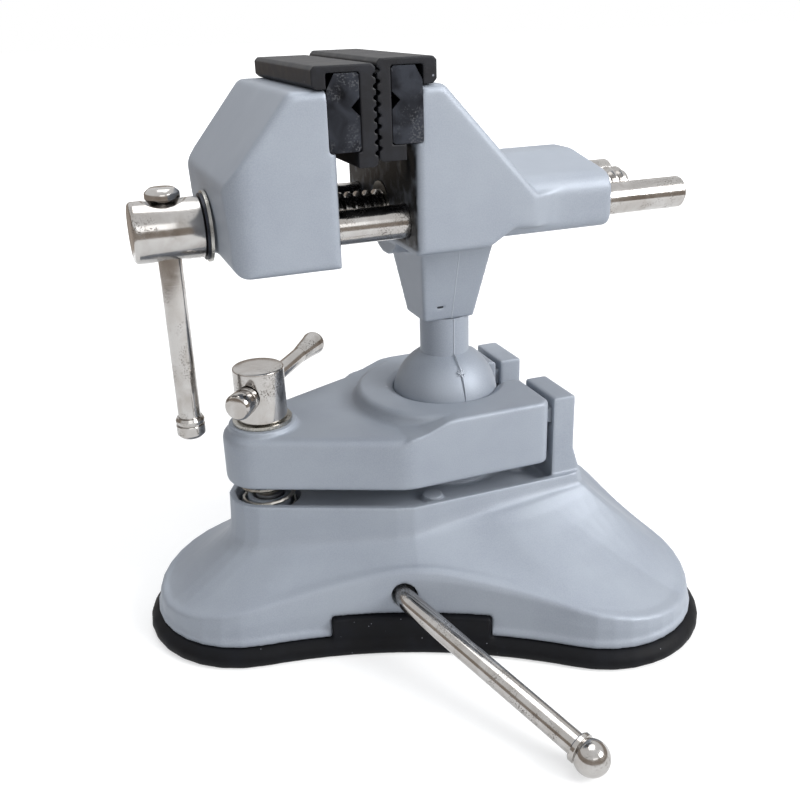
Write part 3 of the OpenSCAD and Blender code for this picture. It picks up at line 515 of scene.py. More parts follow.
@dataclass(frozen=True)
class TurnedSteel(Finish):
    """Steel turned on a lathe and then plated or blackened.

    The turning leaves fine rings round the axis, which pull the highlight out
    into a line. Handling leaves faint smears, and dull specks gather where the
    plating is thin. The specks and rings are drawn coarser than real ones, so
    that they show.
    """

    colour: str = "#B6B4B2"
    smear: str = "#A39F9B"
    roughness: float = 0.15
    speck: str = "#6E6A66"
    fleck: float = 0.5 * MM
    smear_patch: float = 7 * MM
    thin_patch: float = 9 * MM
    ring: float = 0.4 * MM
    ring_run: float = 12 * MM
    speck_dulling: float = 0.22
    axis: Axis = Axis.X
    metallic: float = 1.0

    def build(self) -> bpy.types.Material:
        """Build the material."""
        material, tree, shader, place = self.start()
        smears = add_node(tree, "TexNoise", {"Scale": 1 / self.smear_patch, "Detail": 5.0, "Distortion": 0.6},
                          {"Vector": place})
        ramp = add_node(tree, "ValToRGB", links={"Fac": smears.outputs["Fac"]})
        ramp.color_ramp.elements[0].position = 0.3
        ramp.color_ramp.elements[0].color = srgb(self.smear)
        ramp.color_ramp.elements[1].position = 0.6
        ramp.color_ramp.elements[1].color = srgb(self.colour)
        # dull specks gather in patches, where the plating is thin
        grains = add_node(tree, "TexNoise", {"Scale": 1 / self.fleck, "Detail": 2.0}, {"Vector": place})
        thin = add_node(tree, "TexNoise", {"Scale": 1 / self.thin_patch, "Detail": 2.0, "Distortion": 0.4},
                        {"Vector": place})
        where = add_node(tree, "MapRange", {"From Min": 0.50, "From Max": 0.64}, {"Value": thin.outputs["Fac"]})
        dots = add_node(tree, "MapRange", {"From Min": 0.52, "From Max": 0.62}, {"Value": grains.outputs["Fac"]})
        specked = add_node(tree, "Math", {"operation": "MULTIPLY"}, {"Value": where.outputs["Result"]})
        tree.links.new(dots.outputs["Result"], specked.inputs[1])
        worn = add_node(tree, "Mix", {"data_type": "RGBA"}, {"Factor": specked.outputs["Value"]})
        tree.links.new(ramp.outputs["Color"], worn.inputs[6])
        worn.inputs[7].default_value = srgb(self.speck)
        tree.links.new(worn.outputs[2], shader.inputs["Base Color"])
        gloss = add_node(tree, "MapRange", {"From Min": 0.3, "From Max": 0.75, "To Min": self.roughness * 0.7,
                                            "To Max": self.roughness * 1.5}, {"Value": smears.outputs["Fac"]})
        dull = add_node(tree, "MapRange", {"To Max": self.speck_dulling}, {"Value": specked.outputs["Value"]})
        rough = add_node(tree, "Math", {"operation": "ADD"}, {"Value": gloss.outputs["Result"]})
        tree.links.new(dull.outputs["Result"], rough.inputs[1])
        tree.links.new(rough.outputs["Value"], shader.inputs["Roughness"])
        shader.inputs["Metallic"].default_value = self.metallic
        # noise squeezed along the axis draws the rings that the tool leaves
        squeeze = [1 / self.ring_run] * 3
        squeeze[self.axis.value] = 1 / self.ring
        rings = add_node(tree, "Mapping", {"Scale": tuple(squeeze)}, {"Vector": place})
        marks = add_node(tree, "TexNoise", {"Scale": 1.0, "Detail": 2.0}, {"Vector": rings.outputs["Vector"]})
        bump = add_node(tree, "Bump", {"Strength": 0.12, "Distance": 0.03 * MM}, {"Height": marks.outputs["Fac"]})
        tree.links.new(bump.outputs["Normal"], shader.inputs["Normal"])
        return material


@dataclass
class Finishes:
    """The finishes of the vise, each built once."""

    enamel: bpy.types.Material = field(init=False)
    throat_shade: bpy.types.Material = field(init=False)
    base_rubber: bpy.types.Material = field(init=False)
    jaw_rubber: bpy.types.Material = field(init=False)
    plated: dict[Axis, bpy.types.Material] = field(init=False)
    zinc: bpy.types.Material = field(init=False)
    black: bpy.types.Material = field(init=False)

    def __post_init__(self) -> None:
        """Build every material."""
        self.enamel = SprayedCasting("sprayed_enamel_on_zinc_casting", Slot.CASTING).build()
        # the jaws' enamel, with painted shade in their throat
        self.throat_shade = ThroatShadedCasting("sprayed_enamel_with_grease", Slot.CASTING).build()
        self.base_rubber = MouldedRubber("moulded_nitrile_rubber", Slot.PAD_RUBBER).build()
        self.jaw_rubber = MouldedRubber("ribbed_jaw_rubber", Slot.JAW_RUBBER, "#121318", "#1B1D24",
                                        grain=0.45 * MM, patch=5 * MM, speck=7 * MM, roughness=0.5,
                                        shine=0.3).build()
        self.plated = {axis: TurnedSteel(f"nickel_plated_steel_turned_on_{axis.name.lower()}", Slot.PLATED,
                                         axis=axis).build() for axis in Axis}
        self.zinc = TurnedSteel("zinc_plated_steel", Slot.ZINC, "#B4B3AE", "#96948E", 0.3,
                                speck="#7B7871", axis=Axis.Z).build()
        self.black = TurnedSteel("blackened_steel", Slot.DARK, "#3A3D44", "#26282D", 0.42,
                                 speck="#5C5E62", axis=Axis.X).build()


def finish(obj: bpy.types.Object, material: bpy.types.Material) -> None:
    """Give the whole of obj one material.

    Args:
        obj: A piece or a node's object.
        material: The material for all its faces.
    """
    if not obj.data.materials:
        obj.data.materials.append(material)
    for index in range(len(obj.material_slots)):
        obj.material_slots[index].material = material


def place_piece(obj: bpy.types.Object, body: str, material: bpy.types.Material,
                nodes: Iterable[str] = ()) -> bpy.types.Object:
    """Dress a finished piece, and say what it rides on and stands for.

    Args:
        obj: The piece.
        body: The body that it moves with.
        material: Its material.
        nodes: The nodes that it replaces.

    Returns:
        The piece.
    """
    finish(obj, material)
    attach(obj, body)
    if nodes:
        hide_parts(*nodes)
    LOG.info("%s: %d faces, on %s", obj.name, len(obj.data.polygons), body)
    return obj


# ---- softened copies of the construction solids ----
@dataclass(frozen=True)
class Ease:
    """A region of a softened copy whose flats are smoothed into one another."""

    low: tuple[float, float, float]
    high: tuple[float, float, float]
    passes: int
    feather: float = 2.0

    def weight(self, point: Vector) -> float:
        """Say how strongly a point, in metres, is smoothed: from 0 at the region's border to 1 inside."""
        depth = min(min(p / MM - a, b - p / MM) for p, a, b in zip(point, self.low, self.high))
        return max(0.0, min(1.0, depth / self.feather))

    def apply(self, obj: bpy.types.Object) -> None:
        """Smooth the region of obj."""
        group = obj.vertex_groups.new(name="ease")
        for vertex in obj.data.vertices:
            share = self.weight(vertex.co)
            if share > 0:
                group.add([vertex.index], share, "REPLACE")
        modify(obj, "SMOOTH", factor=0.5, iterations=self.passes, vertex_group="ease")
        obj.vertex_groups.clear()


@dataclass(frozen=True)
class Bore:
    """A round hole cut afresh in a softened copy, a little wider than what runs in it."""

    centre: tuple[float, float, float]
    ahead: tuple[float, float, float]
    radius: float
    length: float
    flare: float = 0.0

    def cut_from(self, obj: bpy.types.Object) -> None:
        """Cut the hole out of obj, with its flared mouth at the far end where it has one."""
        turn = Vector(self.ahead).to_track_quat("Z", "Y").to_euler()
        tool = add_cylinder(self.radius, self.length, self.centre)
        tool.rotation_euler = turn
        cut(obj, tool)
        if self.flare > 0:
            mouth = Vector(self.centre) + Vector(self.ahead).normalized() * (self.length / 2)
            cone = add_cylinder(self.radius - self.flare, 4 * self.flare, mouth,
                                top_radius=self.radius + 3 * self.flare)
            cone.rotation_euler = turn
            cut(obj, cone)


@dataclass(frozen=True)
class SoftCopy:
    """A node's solid meshed again, with the soft edges of a casting or a moulding."""

    node: str
    body: str
    voxel: float
    passes: int
    keep: float = 1.0
    eases: tuple[Ease, ...] = ()

    def build(self, frame: dict[str, Any]) -> bpy.types.Object:
        """Copy the node's mesh, merge it, mesh it again and ease its edges.

        Args:
            frame: The loaded frame.

        Returns:
            The new piece.
        """
        source = frame["nodes"][self.node]
        obj = bpy.data.objects.new(self.node + "_skin", source.data.copy())
        bpy.context.collection.objects.link(obj)
        obj.data.materials.clear()
        pick(obj)
        bpy.ops.object.mode_set(mode="EDIT")
        bpy.ops.mesh.select_all(action="SELECT")
        bpy.ops.mesh.remove_doubles(threshold=0.002 * MM)
        bpy.ops.object.mode_set(mode="OBJECT")
        modify(obj, "REMESH", mode="VOXEL", voxel_size=self.voxel, adaptivity=0.0)
        modify(obj, "SMOOTH", factor=0.5, iterations=self.passes)
        for ease in self.eases:
            ease.apply(obj)
        if self.keep < 1:
            modify(obj, "DECIMATE", ratio=self.keep)
        pick(obj)
        bpy.ops.object.shade_smooth()
        return obj


@dataclass
class Castings:
    """The painted castings: the base, the clamp plate and the two jaws, with the ball and its post."""

    finishes: Finishes
    copies: tuple[SoftCopy, ...] = (
        SoftCopy("base_casting", "base", 0.58 * MM, 2, 0.42, (Ease((-120, -120, 8.4), (-10, 120, 37), 16, 14.0),)),
        SoftCopy("clamp_plate", "plate", 0.50 * MM, 3, 0.5, (
            Ease((-70, -40, 52), (-20, 40, 75), 4), Ease((-16, -40, 62), (14, 40, 80), 5))),
        SoftCopy("fixed_jaw", "head", 0.55 * MM, 3, 0.5, (
            Ease((-5, -40, 124), (70, 40, 180), 4), Ease((34, -40, 128), (50, 40, 146), 8))),
        SoftCopy("moving_jaw", "slide_jaw", 0.55 * MM, 3, 0.5, (Ease((-60, -40, 120), (-27, 40, 180), 6),)),
    )
    room: float = 0.2 * MM
    shank: float = 6 * MM
    lever_hole: float = 4.05 * MM
    lever_hole_length: float = 46.4 * MM
    lever_hole_middle: float = 23.2 * MM
    lever_hole_flare: float = 0.35 * MM

    def bores(self, frame: dict[str, Any]) -> dict[str, list[Bore]]:
        """List the holes to cut afresh, by the node of the casting.

        Args:
            frame: The loaded frame, whose record says where the lever turns.

        Returns:
            The holes of each casting.
        """
        rods = []
        for name in ("guide_rod_near", "guide_rod_far"):
            low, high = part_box(name)
            rods.append(Bore(tuple((low + high) / 2), (1, 0, 0), (high.z - low.z) / 2 + self.room,
                             high.x - low.x + 2 * self.room))
        nut_low, nut_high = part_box("screw_nut")
        nut = Bore(tuple((nut_low + nut_high) / 2), (1, 0, 0), (nut_high.z - nut_low.z) / 2 + self.room,
                   nut_high.x - nut_low.x + self.room)
        low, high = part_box("moving_jaw")
        shank = Bore(((low.x + high.x) / 2, 0, (nut_low.z + nut_high.z) / 2), (1, 0, 0), self.shank + self.room,
                     high.x - low.x + 10 * MM)
        joint = next(j for j in frame["record"]["behaviour"]["joints"] if j["name"] == "suction_lever_turn")
        ahead = Vector(joint["axis"]).normalized()
        pivot = Vector(joint["pos_m"])
        lever = Bore(tuple(pivot + ahead * self.lever_hole_middle), tuple(ahead), self.lever_hole + self.room,
                     self.lever_hole_length, self.lever_hole_flare)
        return {"fixed_jaw": [*rods, nut], "moving_jaw": [*rods, shank], "base_casting": [lever]}

    def build(self, frame: dict[str, Any]) -> None:
        """Build each casting's piece and dress it."""
        bores = self.bores(frame)
        for copy in self.copies:
            piece = copy.build(frame)
            for bore in bores.get(copy.node, []):
                bore.cut_from(piece)
            shade(piece, 40)
            # the jaws take the enamel with the painted shade in their throat
            skin = self.finishes.throat_shade if copy.node.endswith("_jaw") else self.finishes.enamel
            place_piece(piece, copy.body, skin, [copy.node])
        finish(frame["nodes"]["ball_stem"], self.finishes.enamel)


@dataclass
class RubberParts:
    """The suction pad and the two ribbed jaw pads."""

    finishes: Finishes
    pad: SoftCopy = SoftCopy("suction_pad", "base", 0.70 * MM, 4, 0.7, (Ease((-120, -120, -1), (120, 120, 6.6), 14),))
    jaws: tuple[SoftCopy, ...] = (SoftCopy("fixed_jaw_pad", "head", 0.30 * MM, 2, 0.7),
                                  SoftCopy("moving_jaw_pad", "slide_jaw", 0.30 * MM, 2, 0.7))

    def build(self, frame: dict[str, Any]) -> None:
        """Build each rubber piece and dress it."""
        place_piece(self.pad.build(frame), self.pad.body, self.finishes.base_rubber,
                    [self.pad.node])
        for copy in self.jaws:
            place_piece(copy.build(frame), copy.body, self.finishes.jaw_rubber, [copy.node])


# ---- parting lines ----
@dataclass
class PartingLines:
    """The flash left where the two halves of the die met, on the ball, its post and the neck."""

    finishes: Finishes
    line: float = 0.2 * MM
    neck_foot: tuple[float, float] = (7.8 * MM, 98.3 * MM)
    neck_head: tuple[float, float] = (16.2 * MM, 126.0 * MM)
    post: float = 8.3 * MM
    scar_height: float = 38.0
    scar_rays: tuple[int, ...] = (0, 40, 80, 125, 160)
    scar_line: float = 0.16 * MM

    def rod(self, start: Vector, end: Vector, radius: float) -> bpy.types.Object:
        """Lay a thin round ridge from start to end."""
        way = end - start
        ridge = add_cylinder(radius, way.length, (start + end) / 2, sides=8)
        ridge.rotation_euler = way.to_track_quat("Z", "Y").to_euler()
        return ridge

    def build(self, frame: dict[str, Any]) -> None:
        """Build the ball's lines and the neck's, and dress them."""
        low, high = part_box("ball_stem")
        ball = (high.x - low.x) / 2
        centre = Vector(((low.x + high.x) / 2, 0.0, low.z + ball))
        clear_selection()
        bpy.ops.mesh.primitive_torus_add(major_radius=ball, minor_radius=self.line, major_segments=144,
                                         minor_segments=8, location=centre, rotation=(0, math.pi / 2, 0))
        ridges = [bpy.context.object]
        for side in (-1, 1):
            ridges.append(self.rod(Vector((centre.x, side * self.post, centre.z + ball * 0.87)),
                                   Vector((centre.x, side * self.post, self.neck_foot[1] - 0.4 * MM)), self.line))
        # the gate's scar is a small star on the near side of the ball
        scar = Vector((0.0, -math.cos(math.radians(self.scar_height)), math.sin(math.radians(self.scar_height))))
        across = scar.cross(Vector((1, 0, 0))).normalized()
        for angle in self.scar_rays:
            along = Vector((1, 0, 0)) * math.cos(math.radians(angle)) + across * math.sin(math.radians(angle))
            middle = centre + scar * (ball - 0.02 * MM)
            ridges.append(self.rod(middle - along * 1.3 * MM, middle + along * 1.5 * MM, self.scar_line))
        seam = join(ridges, "ball_parting_line")
        shade(seam, 60)
        place_piece(seam, "ball", self.finishes.enamel)
        lines = [self.rod(Vector((centre.x - 0.6 * MM, side * self.neck_foot[0], self.neck_foot[1])),
                          Vector((centre.x - 0.9 * MM, side * self.neck_head[0], self.neck_head[1])), self.line)
                 for side in (-1, 1)]
        neck = join(lines, "neck_parting_line")
        shade(neck, 60)
        place_piece(neck, "head", self.finishes.enamel)


# ---- the vise screw ----
@dataclass
class ViseScrew:
    """The vise screw, with its cross-drilled head and its rolled thread."""

    finishes: Finishes
    pitch: float = 3.0 * MM
    depth: float = 1.35 * MM
    shank: float = 6.0 * MM
    head_length: float = 20.5 * MM
    steps: int = 40
    bar_room: float = 0.08 * MM
    countersinks: tuple[tuple[int, float], ...] = ((1, 3.1 * MM), (-1, 2.6 * MM))

    def thread(self, start: float, end: float, radius: float, height: float) -> bpy.types.Object:
        """Sweep one pitch of thread round the screw's axis as often as it fits.

        Args:
            start: Where the thread starts along X.
            end: Where it ends.
            radius: The crest's radius.
            height: The axis's height.

        Returns:
            The thread, open at both ends.
        """
        root = radius - self.depth
        profile = [(root, 0.0), (root, 0.16), (radius, 0.40), (radius, 0.60), (root, 0.84), (root, 1.0)]
        mesh = bpy.data.meshes.new("thread")
        mesh.from_pydata([(r, 0.0, t * self.pitch) for r, t in profile],
                         [(i, i + 1) for i in range(len(profile) - 1)], [])
        obj = bpy.data.objects.new("thread", mesh)
        bpy.context.collection.objects.link(obj)
        turns = int((end - start) / self.pitch) - 1
        modify(obj, "SCREW", axis="Z", angle=2 * math.pi, screw_offset=self.pitch, iterations=turns,
               steps=self.steps, render_steps=self.steps, use_merge_vertices=True, merge_threshold=0.01 * MM)
        obj.location = (start, 0.0, height)
        obj.rotation_euler = (0.0, math.pi / 2, 0.0)
        return obj

    def build(self, frame: dict[str, Any]) -> None:
        """Build the screw and dress it."""
        low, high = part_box("vise_screw")
        bar_low, bar_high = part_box("handle_bar")
        height = (low.z + high.z) / 2
        radius = (high.z - low.z) / 2
        bar = (bar_low.x + bar_high.x) / 2
        bar_radius = (bar_high.x - bar_low.x) / 2
        neck = low.x + self.head_length
        collar_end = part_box("screw_clip")[1].x + 1.5 * MM
        head = add_cylinder(radius, self.head_length, ((low.x + neck) / 2, 0, height), Axis.X, 96)
        bevel_edges(head, 1.3 * MM, 4, lambda a, b: a.x < low.x + 0.1 * MM and b.x < low.x + 0.1 * MM)
        bevel_edges(head, 0.5 * MM, 3, lambda a, b: a.x > neck - 0.1 * MM and b.x > neck - 0.1 * MM)
        cut(head, add_cylinder(bar_radius + self.bar_room, 4 * radius, (bar, 0, height), Axis.Z, 64))
        for side, reach in self.countersinks:
            cone = add_cylinder(bar_radius, reach + 1 * MM, (bar, 0, height + side * (radius - 1.1 * MM)),
                                Axis.Z, 64, bar_radius + reach + 1 * MM)
            if side < 0:
                cone.rotation_euler = (math.pi, 0, 0)
            cut(head, cone)
        collar = add_cylinder(self.shank, collar_end - neck + 1 * MM, ((neck + collar_end - 1 * MM) / 2, 0, height),
                              Axis.X, 64)
        core = add_cylinder(self.shank - self.depth + 0.02 * MM, high.x - collar_end,
                            ((collar_end + high.x) / 2, 0, height), Axis.X, 64)
        bevel_edges(core, 0.8 * MM, 2, lambda a, b: a.x > high.x - 0.1 * MM and b.x > high.x - 0.1 * MM)
        thread = self.thread(collar_end - 2 * MM, high.x, self.shank, height)
        pieces = [head, collar, core, thread]
        screw = join(pieces, "vise_screw_threaded")
        recalculate(screw)
        shade(screw, 32)
        place_piece(screw, "screw", self.finishes.plated[Axis.X], ["vise_screw"])


# ---- the other turned metal ----
@dataclass
class TurnedMetal:
    """The plated rods, bars, knobs and the clamp screw, turned with their real edges."""

    finishes: Finishes
    pieces: list[str] = field(default_factory=list)

    def place(self, obj: bpy.types.Object, body: str, axis: Axis, node: str, angle: float = 28.0) -> None:
        """Put a turned piece in its node's place and dress it."""
        obj = settle(obj, node + "_turned")
        shade(obj, angle)
        place_piece(obj, body, self.finishes.plated[axis], [node])
        self.pieces.append(obj.name)

    def guide_rods(self) -> None:
        """Turn the two guide rods, with a chamfer and a faint lathe centre at the free end."""
        for node in ("guide_rod_near", "guide_rod_far"):
            low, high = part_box(node)
            radius = (high.z - low.z) / 2 / MM
            length = (high.x - low.x) / MM
            rod = lathe([(0, 0), *round_edge(radius, 0, 0.6, -1), (radius, length - 1.0),
                         (radius - 0.15, length - 0.72), (radius - 0.85, length - 0.08),
                         (radius - 1.1, length), (1.1, length), (0, length - 0.7)], 96)
            aim(rod, (low.x, (low.y + high.y) / 2, (low.z + high.z) / 2), (1, 0, 0))
            self.place(rod, "slide_jaw", Axis.X, node)

    def handle(self) -> None:
        """Turn the sliding handle bar and its two riveted knobs."""
        low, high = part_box("handle_bar")
        x = (low.x + high.x) / 2
        radius = (high.x - low.x) / 2 / MM
        length = (high.z - low.z) / MM
        bar = lathe([(0, 0), *round_edge(radius, 0, 0.5, -1), *round_edge(radius, length, 0.5), (0, length)])
        self.place(aim(bar, (x, 0, low.z), (0, 0, 1)), "handle", Axis.Z, "handle_bar")
        low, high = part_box("handle_knob_top")
        radius = (high.x - low.x) / 2 / MM
        top = lathe([(3.2, 0), (3.75, 0), (radius - 0.25, 1.75), (radius, 2.15), (radius, 3.6), (radius - 0.18, 3.95),
                     (radius - 1.15, 4.85), (radius - 1.6, 5.1), (radius - 3.2, 5.27), (0, 5.3)])
        self.place(aim(top, (x, 0, low.z), (0, 0, 1)), "handle", Axis.Z, "handle_knob_top")
        low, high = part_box("handle_knob_bottom")
        radius = (high.x - low.x) / 2 / MM
        height = (high.z - low.z) / MM
        bottom = lathe([(0, 0), (radius - 1.5, 0), (radius - 1.15, 0.12), (radius - 0.1, 1.15), (radius, 1.45),
                        (radius, 4.2), (radius - 0.12, 4.42), (radius - 0.5, 4.5), (radius - 0.55, 4.9),
                        (radius - 0.1, 5.05), (radius, 5.3), (radius, height - 0.9),
                        (radius - 0.5, height), (3.3, height)])
        self.place(aim(bottom, (x, 0, low.z), (0, 0, 1)), "handle", Axis.Z, "handle_knob_bottom")

    def clamp(self, joints: dict[str, dict[str, Any]]) -> None:
        """Turn the clamp screw with its flared cross hole, and its bar with two knobs."""
        low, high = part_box("clamp_screw")
        centre = Vector(((low.x + high.x) / 2, 0, 0))
        radius = (high.x - low.x) / 2 / MM
        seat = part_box("clamp_washer")[1].z
        head_low, top = (seat - low.z) / MM, (high.z - low.z) / MM
        screw = lathe([(0, 0), (4, 0), (5, 1), (5, head_low), (radius - 0.5, head_low), (radius, head_low + 0.5),
                       *round_edge(radius, top, 0.6, 1, 5), (radius - 3, top + 0.0), (0, top)], 96)
        aim(screw, (centre.x, 0, low.z), (0, 0, 1))
        bar_low, bar_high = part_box("clamp_bar")
        height = (bar_low.z + bar_high.z) / 2
        bar_radius = (bar_high.z - bar_low.z) / 2 / MM
        near = Vector(joints["clamp_bar_slide"]["axis"]).normalized()
        hole = add_cylinder((bar_radius + 0.05) * MM, 40 * MM, (0, 0, 0))
        cut(screw, aim(hole, (centre.x, 0, height), near))
        for way in (near, -near):
            mouth = lathe([(0, 0), (bar_radius, 0), (bar_radius + 0.5, 1.0), (bar_radius + 2.4, 3.4), (0, 3.4)], 64)
            cut(screw, aim(mouth, Vector((centre.x, 0, height)) + way * (radius - 2.2) * MM, way))
        self.place(screw, "clamp", Axis.Z, "clamp_screw")
        near_end = radius + 4.3 + 0.2
        far_end = 57 - near_end
        bar = lathe([(0, 0), (bar_radius, 0), (bar_radius, near_end + far_end), (0, near_end + far_end)])
        origin = Vector((centre.x, 0, height))
        self.place(aim(bar, origin + near * near_end * MM, -near), "clamp_handle", Axis.Y, "clamp_bar")
        knob = 4.3
        cap = lathe([(2.8, -knob), (knob - 0.8, -knob), (knob - 0.42, 0.25 - knob), (knob - 0.4, 1.5 - knob),
                     (knob - 0.8, 1.75 - knob), (knob - 0.8, 2.2 - knob), (knob - 0.15, 2.6 - knob),
                     (knob, 2.95 - knob), (knob, knob - 1.3), (knob - 0.12, knob - 0.9), (knob - 0.75, knob - 0.15),
                     (knob - 1.2, knob), (0, knob)])
        self.place(aim(cap, origin + near * near_end * MM, near), "clamp_handle", Axis.Y, "clamp_bar_knob_near")
        taper = lathe([(bar_radius - 0.1, -12), (bar_radius + 0.06, -12), (knob - 0.3, 0), (knob - 0.12, 0.6),
                       *[(knob * math.cos(a) - 0.1, 1 + (knob - 1) * math.sin(a))
                         for a in (math.radians(d) for d in range(6, 90, 7))], (0, knob)])
        self.place(aim(taper, origin - near * far_end * MM, -near), "clamp_handle", Axis.Y, "clamp_bar_knob_far")

    def lever(self, joints: dict[str, dict[str, Any]]) -> None:
        """Bend the suction lever from its shaft into its arm, and turn its ball."""
        joint = joints["suction_lever_turn"]
        ahead = Vector(joint["axis"]).normalized()
        pivot = Vector(joint["pos_m"])
        side = Vector((0, 0, 1)).cross(ahead)
        bend, roll, bend_radius = math.radians(45.4), math.radians(15.2), 9.0
        across = Vector((0, 0, -1)) * math.sin(roll) + side * math.cos(roll)
        arm = (ahead * math.cos(bend) + across * math.sin(bend)).normalized()
        out, rod, shaft, length, ball = 47.5, 3.4, 4.0, 76.0, 5.19
        start = out - bend_radius * math.tan(bend / 2)
        path = [(pivot + ahead * t * MM, r) for t, r in ((-32, shaft - 0.5), (-31.5, shaft), (start - 1.6, shaft),
                                                         (start - 0.5, rod), (start, rod))]
        for step in range(1, 25):
            angle = bend * step / 24
            path.append((pivot + (ahead * (start + bend_radius * math.sin(angle))
                                  + across * bend_radius * (1 - math.cos(angle))) * MM, rod))
        end = length - ball + 1.3
        for t in (20.0, 40.0, 60.0, end):
            path.append((pivot + (ahead * out + arm * t) * MM, rod))
        curve = bpy.data.curves.new("lever_path", "CURVE")
        curve.dimensions = "3D"
        curve.bevel_depth = 1.0 * MM
        curve.bevel_resolution = 14
        curve.use_fill_caps = True
        spline = curve.splines.new("POLY")
        spline.points.add(len(path) - 1)
        for point, (place, radius) in zip(spline.points, path):
            point.co = (*place, 1.0)
            point.radius = radius
        rod_piece = bpy.data.objects.new("lever_path", curve)
        bpy.context.collection.objects.link(rod_piece)
        pick(rod_piece)
        bpy.ops.object.convert(target="MESH")
        self.place(bpy.context.object, "lever", Axis.Y, "suction_lever")
        knob = lathe([(rod - 0.2, -ball), (rod + 0.4, -ball), (rod + 0.95, -ball + 0.15), (rod + 1.2, -ball + 0.5),
                      (rod + 1.2, -ball + 1.7), (rod + 0.95, -ball + 1.95), (rod + 0.7, -ball + 2.1),
                      *[(ball * math.cos(a), ball * math.sin(a)) for a in (math.radians(d) for d in range(-32, 84, 6))],
                      (0, ball)])
        self.place(aim(knob, pivot + (ahead * out + arm * length) * MM, arm), "lever", Axis.Y, "lever_ball")

    def build(self, frame: dict[str, Any]) -> None:
        """Turn every piece."""
        joints = {j["name"]: j for j in frame["record"]["behaviour"]["joints"]}
        self.guide_rods()
        self.handle()
        self.clamp(joints)
        self.lever(joints)


# ---- dressing of the nodes that stay ----
@dataclass
class PlainNodes:
    """The nodes whose construction solid is already right, by finish."""

    finishes: Finishes

    def table(self) -> list[tuple[bpy.types.Material, tuple[str, ...]]]:
        """Say which material goes on which nodes."""
        return [
            (self.finishes.zinc, ("clamp_nut", "clamp_spring", "clamp_washer", "pad_lift_plate",
                                  "pad_lift_yoke", "screw_nut", "thrust_washer")),
            (self.finishes.black, ("fixed_jaw_plate", "moving_jaw_plate", "fixed_plate_screws",
                                   "moving_plate_screws", "lever_cam", "lever_clip", "stem_pin", "rod_pins",
                                   "spring_washer", "screw_clip")),
        ]

    def build(self, frame: dict[str, Any]) -> None:
        """Dress each of these nodes."""
        for material, names in self.table():
            for name in names:
                finish(frame["nodes"][name], material)


# ---- camera, floor and light ----
@dataclass
class PhotoCamera:
    """The photograph's camera, fitted to the vise's own edges."""

    place: tuple[float, float, float] = (-98.3 * MM, -280.2 * MM, 193.7 * MM)
    yaw: float = 20.5
    pitch: float = 22.6
    roll: float = -1.7
    focal_px: float = 940.0
    centre_px: tuple[float, float] = (405.1, 397.9)
    sensor: float = 36.0

    def build(self) -> None:
        """Make the camera and set it as the scene's."""
        yaw, pitch, roll = (math.radians(a) for a in (self.yaw, self.pitch, self.roll))
        ahead = Vector((math.sin(yaw) * math.cos(pitch), math.cos(yaw) * math.cos(pitch), -math.sin(pitch)))
        right = Vector((math.cos(yaw), -math.sin(yaw), 0.0))
        up = right.cross(ahead)
        turned_right = right * math.cos(roll) + up * math.sin(roll)
        turned_up = up * math.cos(roll) - right * math.sin(roll)
        data = bpy.data.cameras.new("photo_camera")
        data.sensor_width = self.sensor
        data.lens = self.focal_px / PHOTO_SIZE * self.sensor
        data.shift_x = (PHOTO_SIZE / 2 - self.centre_px[0]) / PHOTO_SIZE
        data.shift_y = (self.centre_px[1] - PHOTO_SIZE / 2) / PHOTO_SIZE
        data.clip_start = 5 * MM
        camera = bpy.data.objects.new("photo_camera", data)
        bpy.context.collection.objects.link(camera)
        turn = Matrix((turned_right, turned_up, -ahead)).transposed().to_4x4()
        camera.matrix_world = Matrix.Translation(Vector(self.place)) @ turn
        bpy.context.scene.camera = camera


@dataclass(frozen=True)
class Softbox:
    """One large area lamp, aimed at a point of the vise."""

    name: str
    place: tuple[float, float, float]
    size: tuple[float, float]
    watts: float

    def build(self, target: Vector) -> None:
        """Make the lamp.

        Args:
            target: The point that it faces.
        """
        data = bpy.data.lights.new(self.name, "AREA")
        data.shape = "RECTANGLE"
        data.size, data.size_y = self.size
        data.energy = self.watts
        lamp = bpy.data.objects.new(self.name, data)
        bpy.context.collection.objects.link(lamp)
        lamp.location = self.place
        lamp.rotation_euler = (target - Vector(self.place)).to_track_quat("-Z", "Y").to_euler()


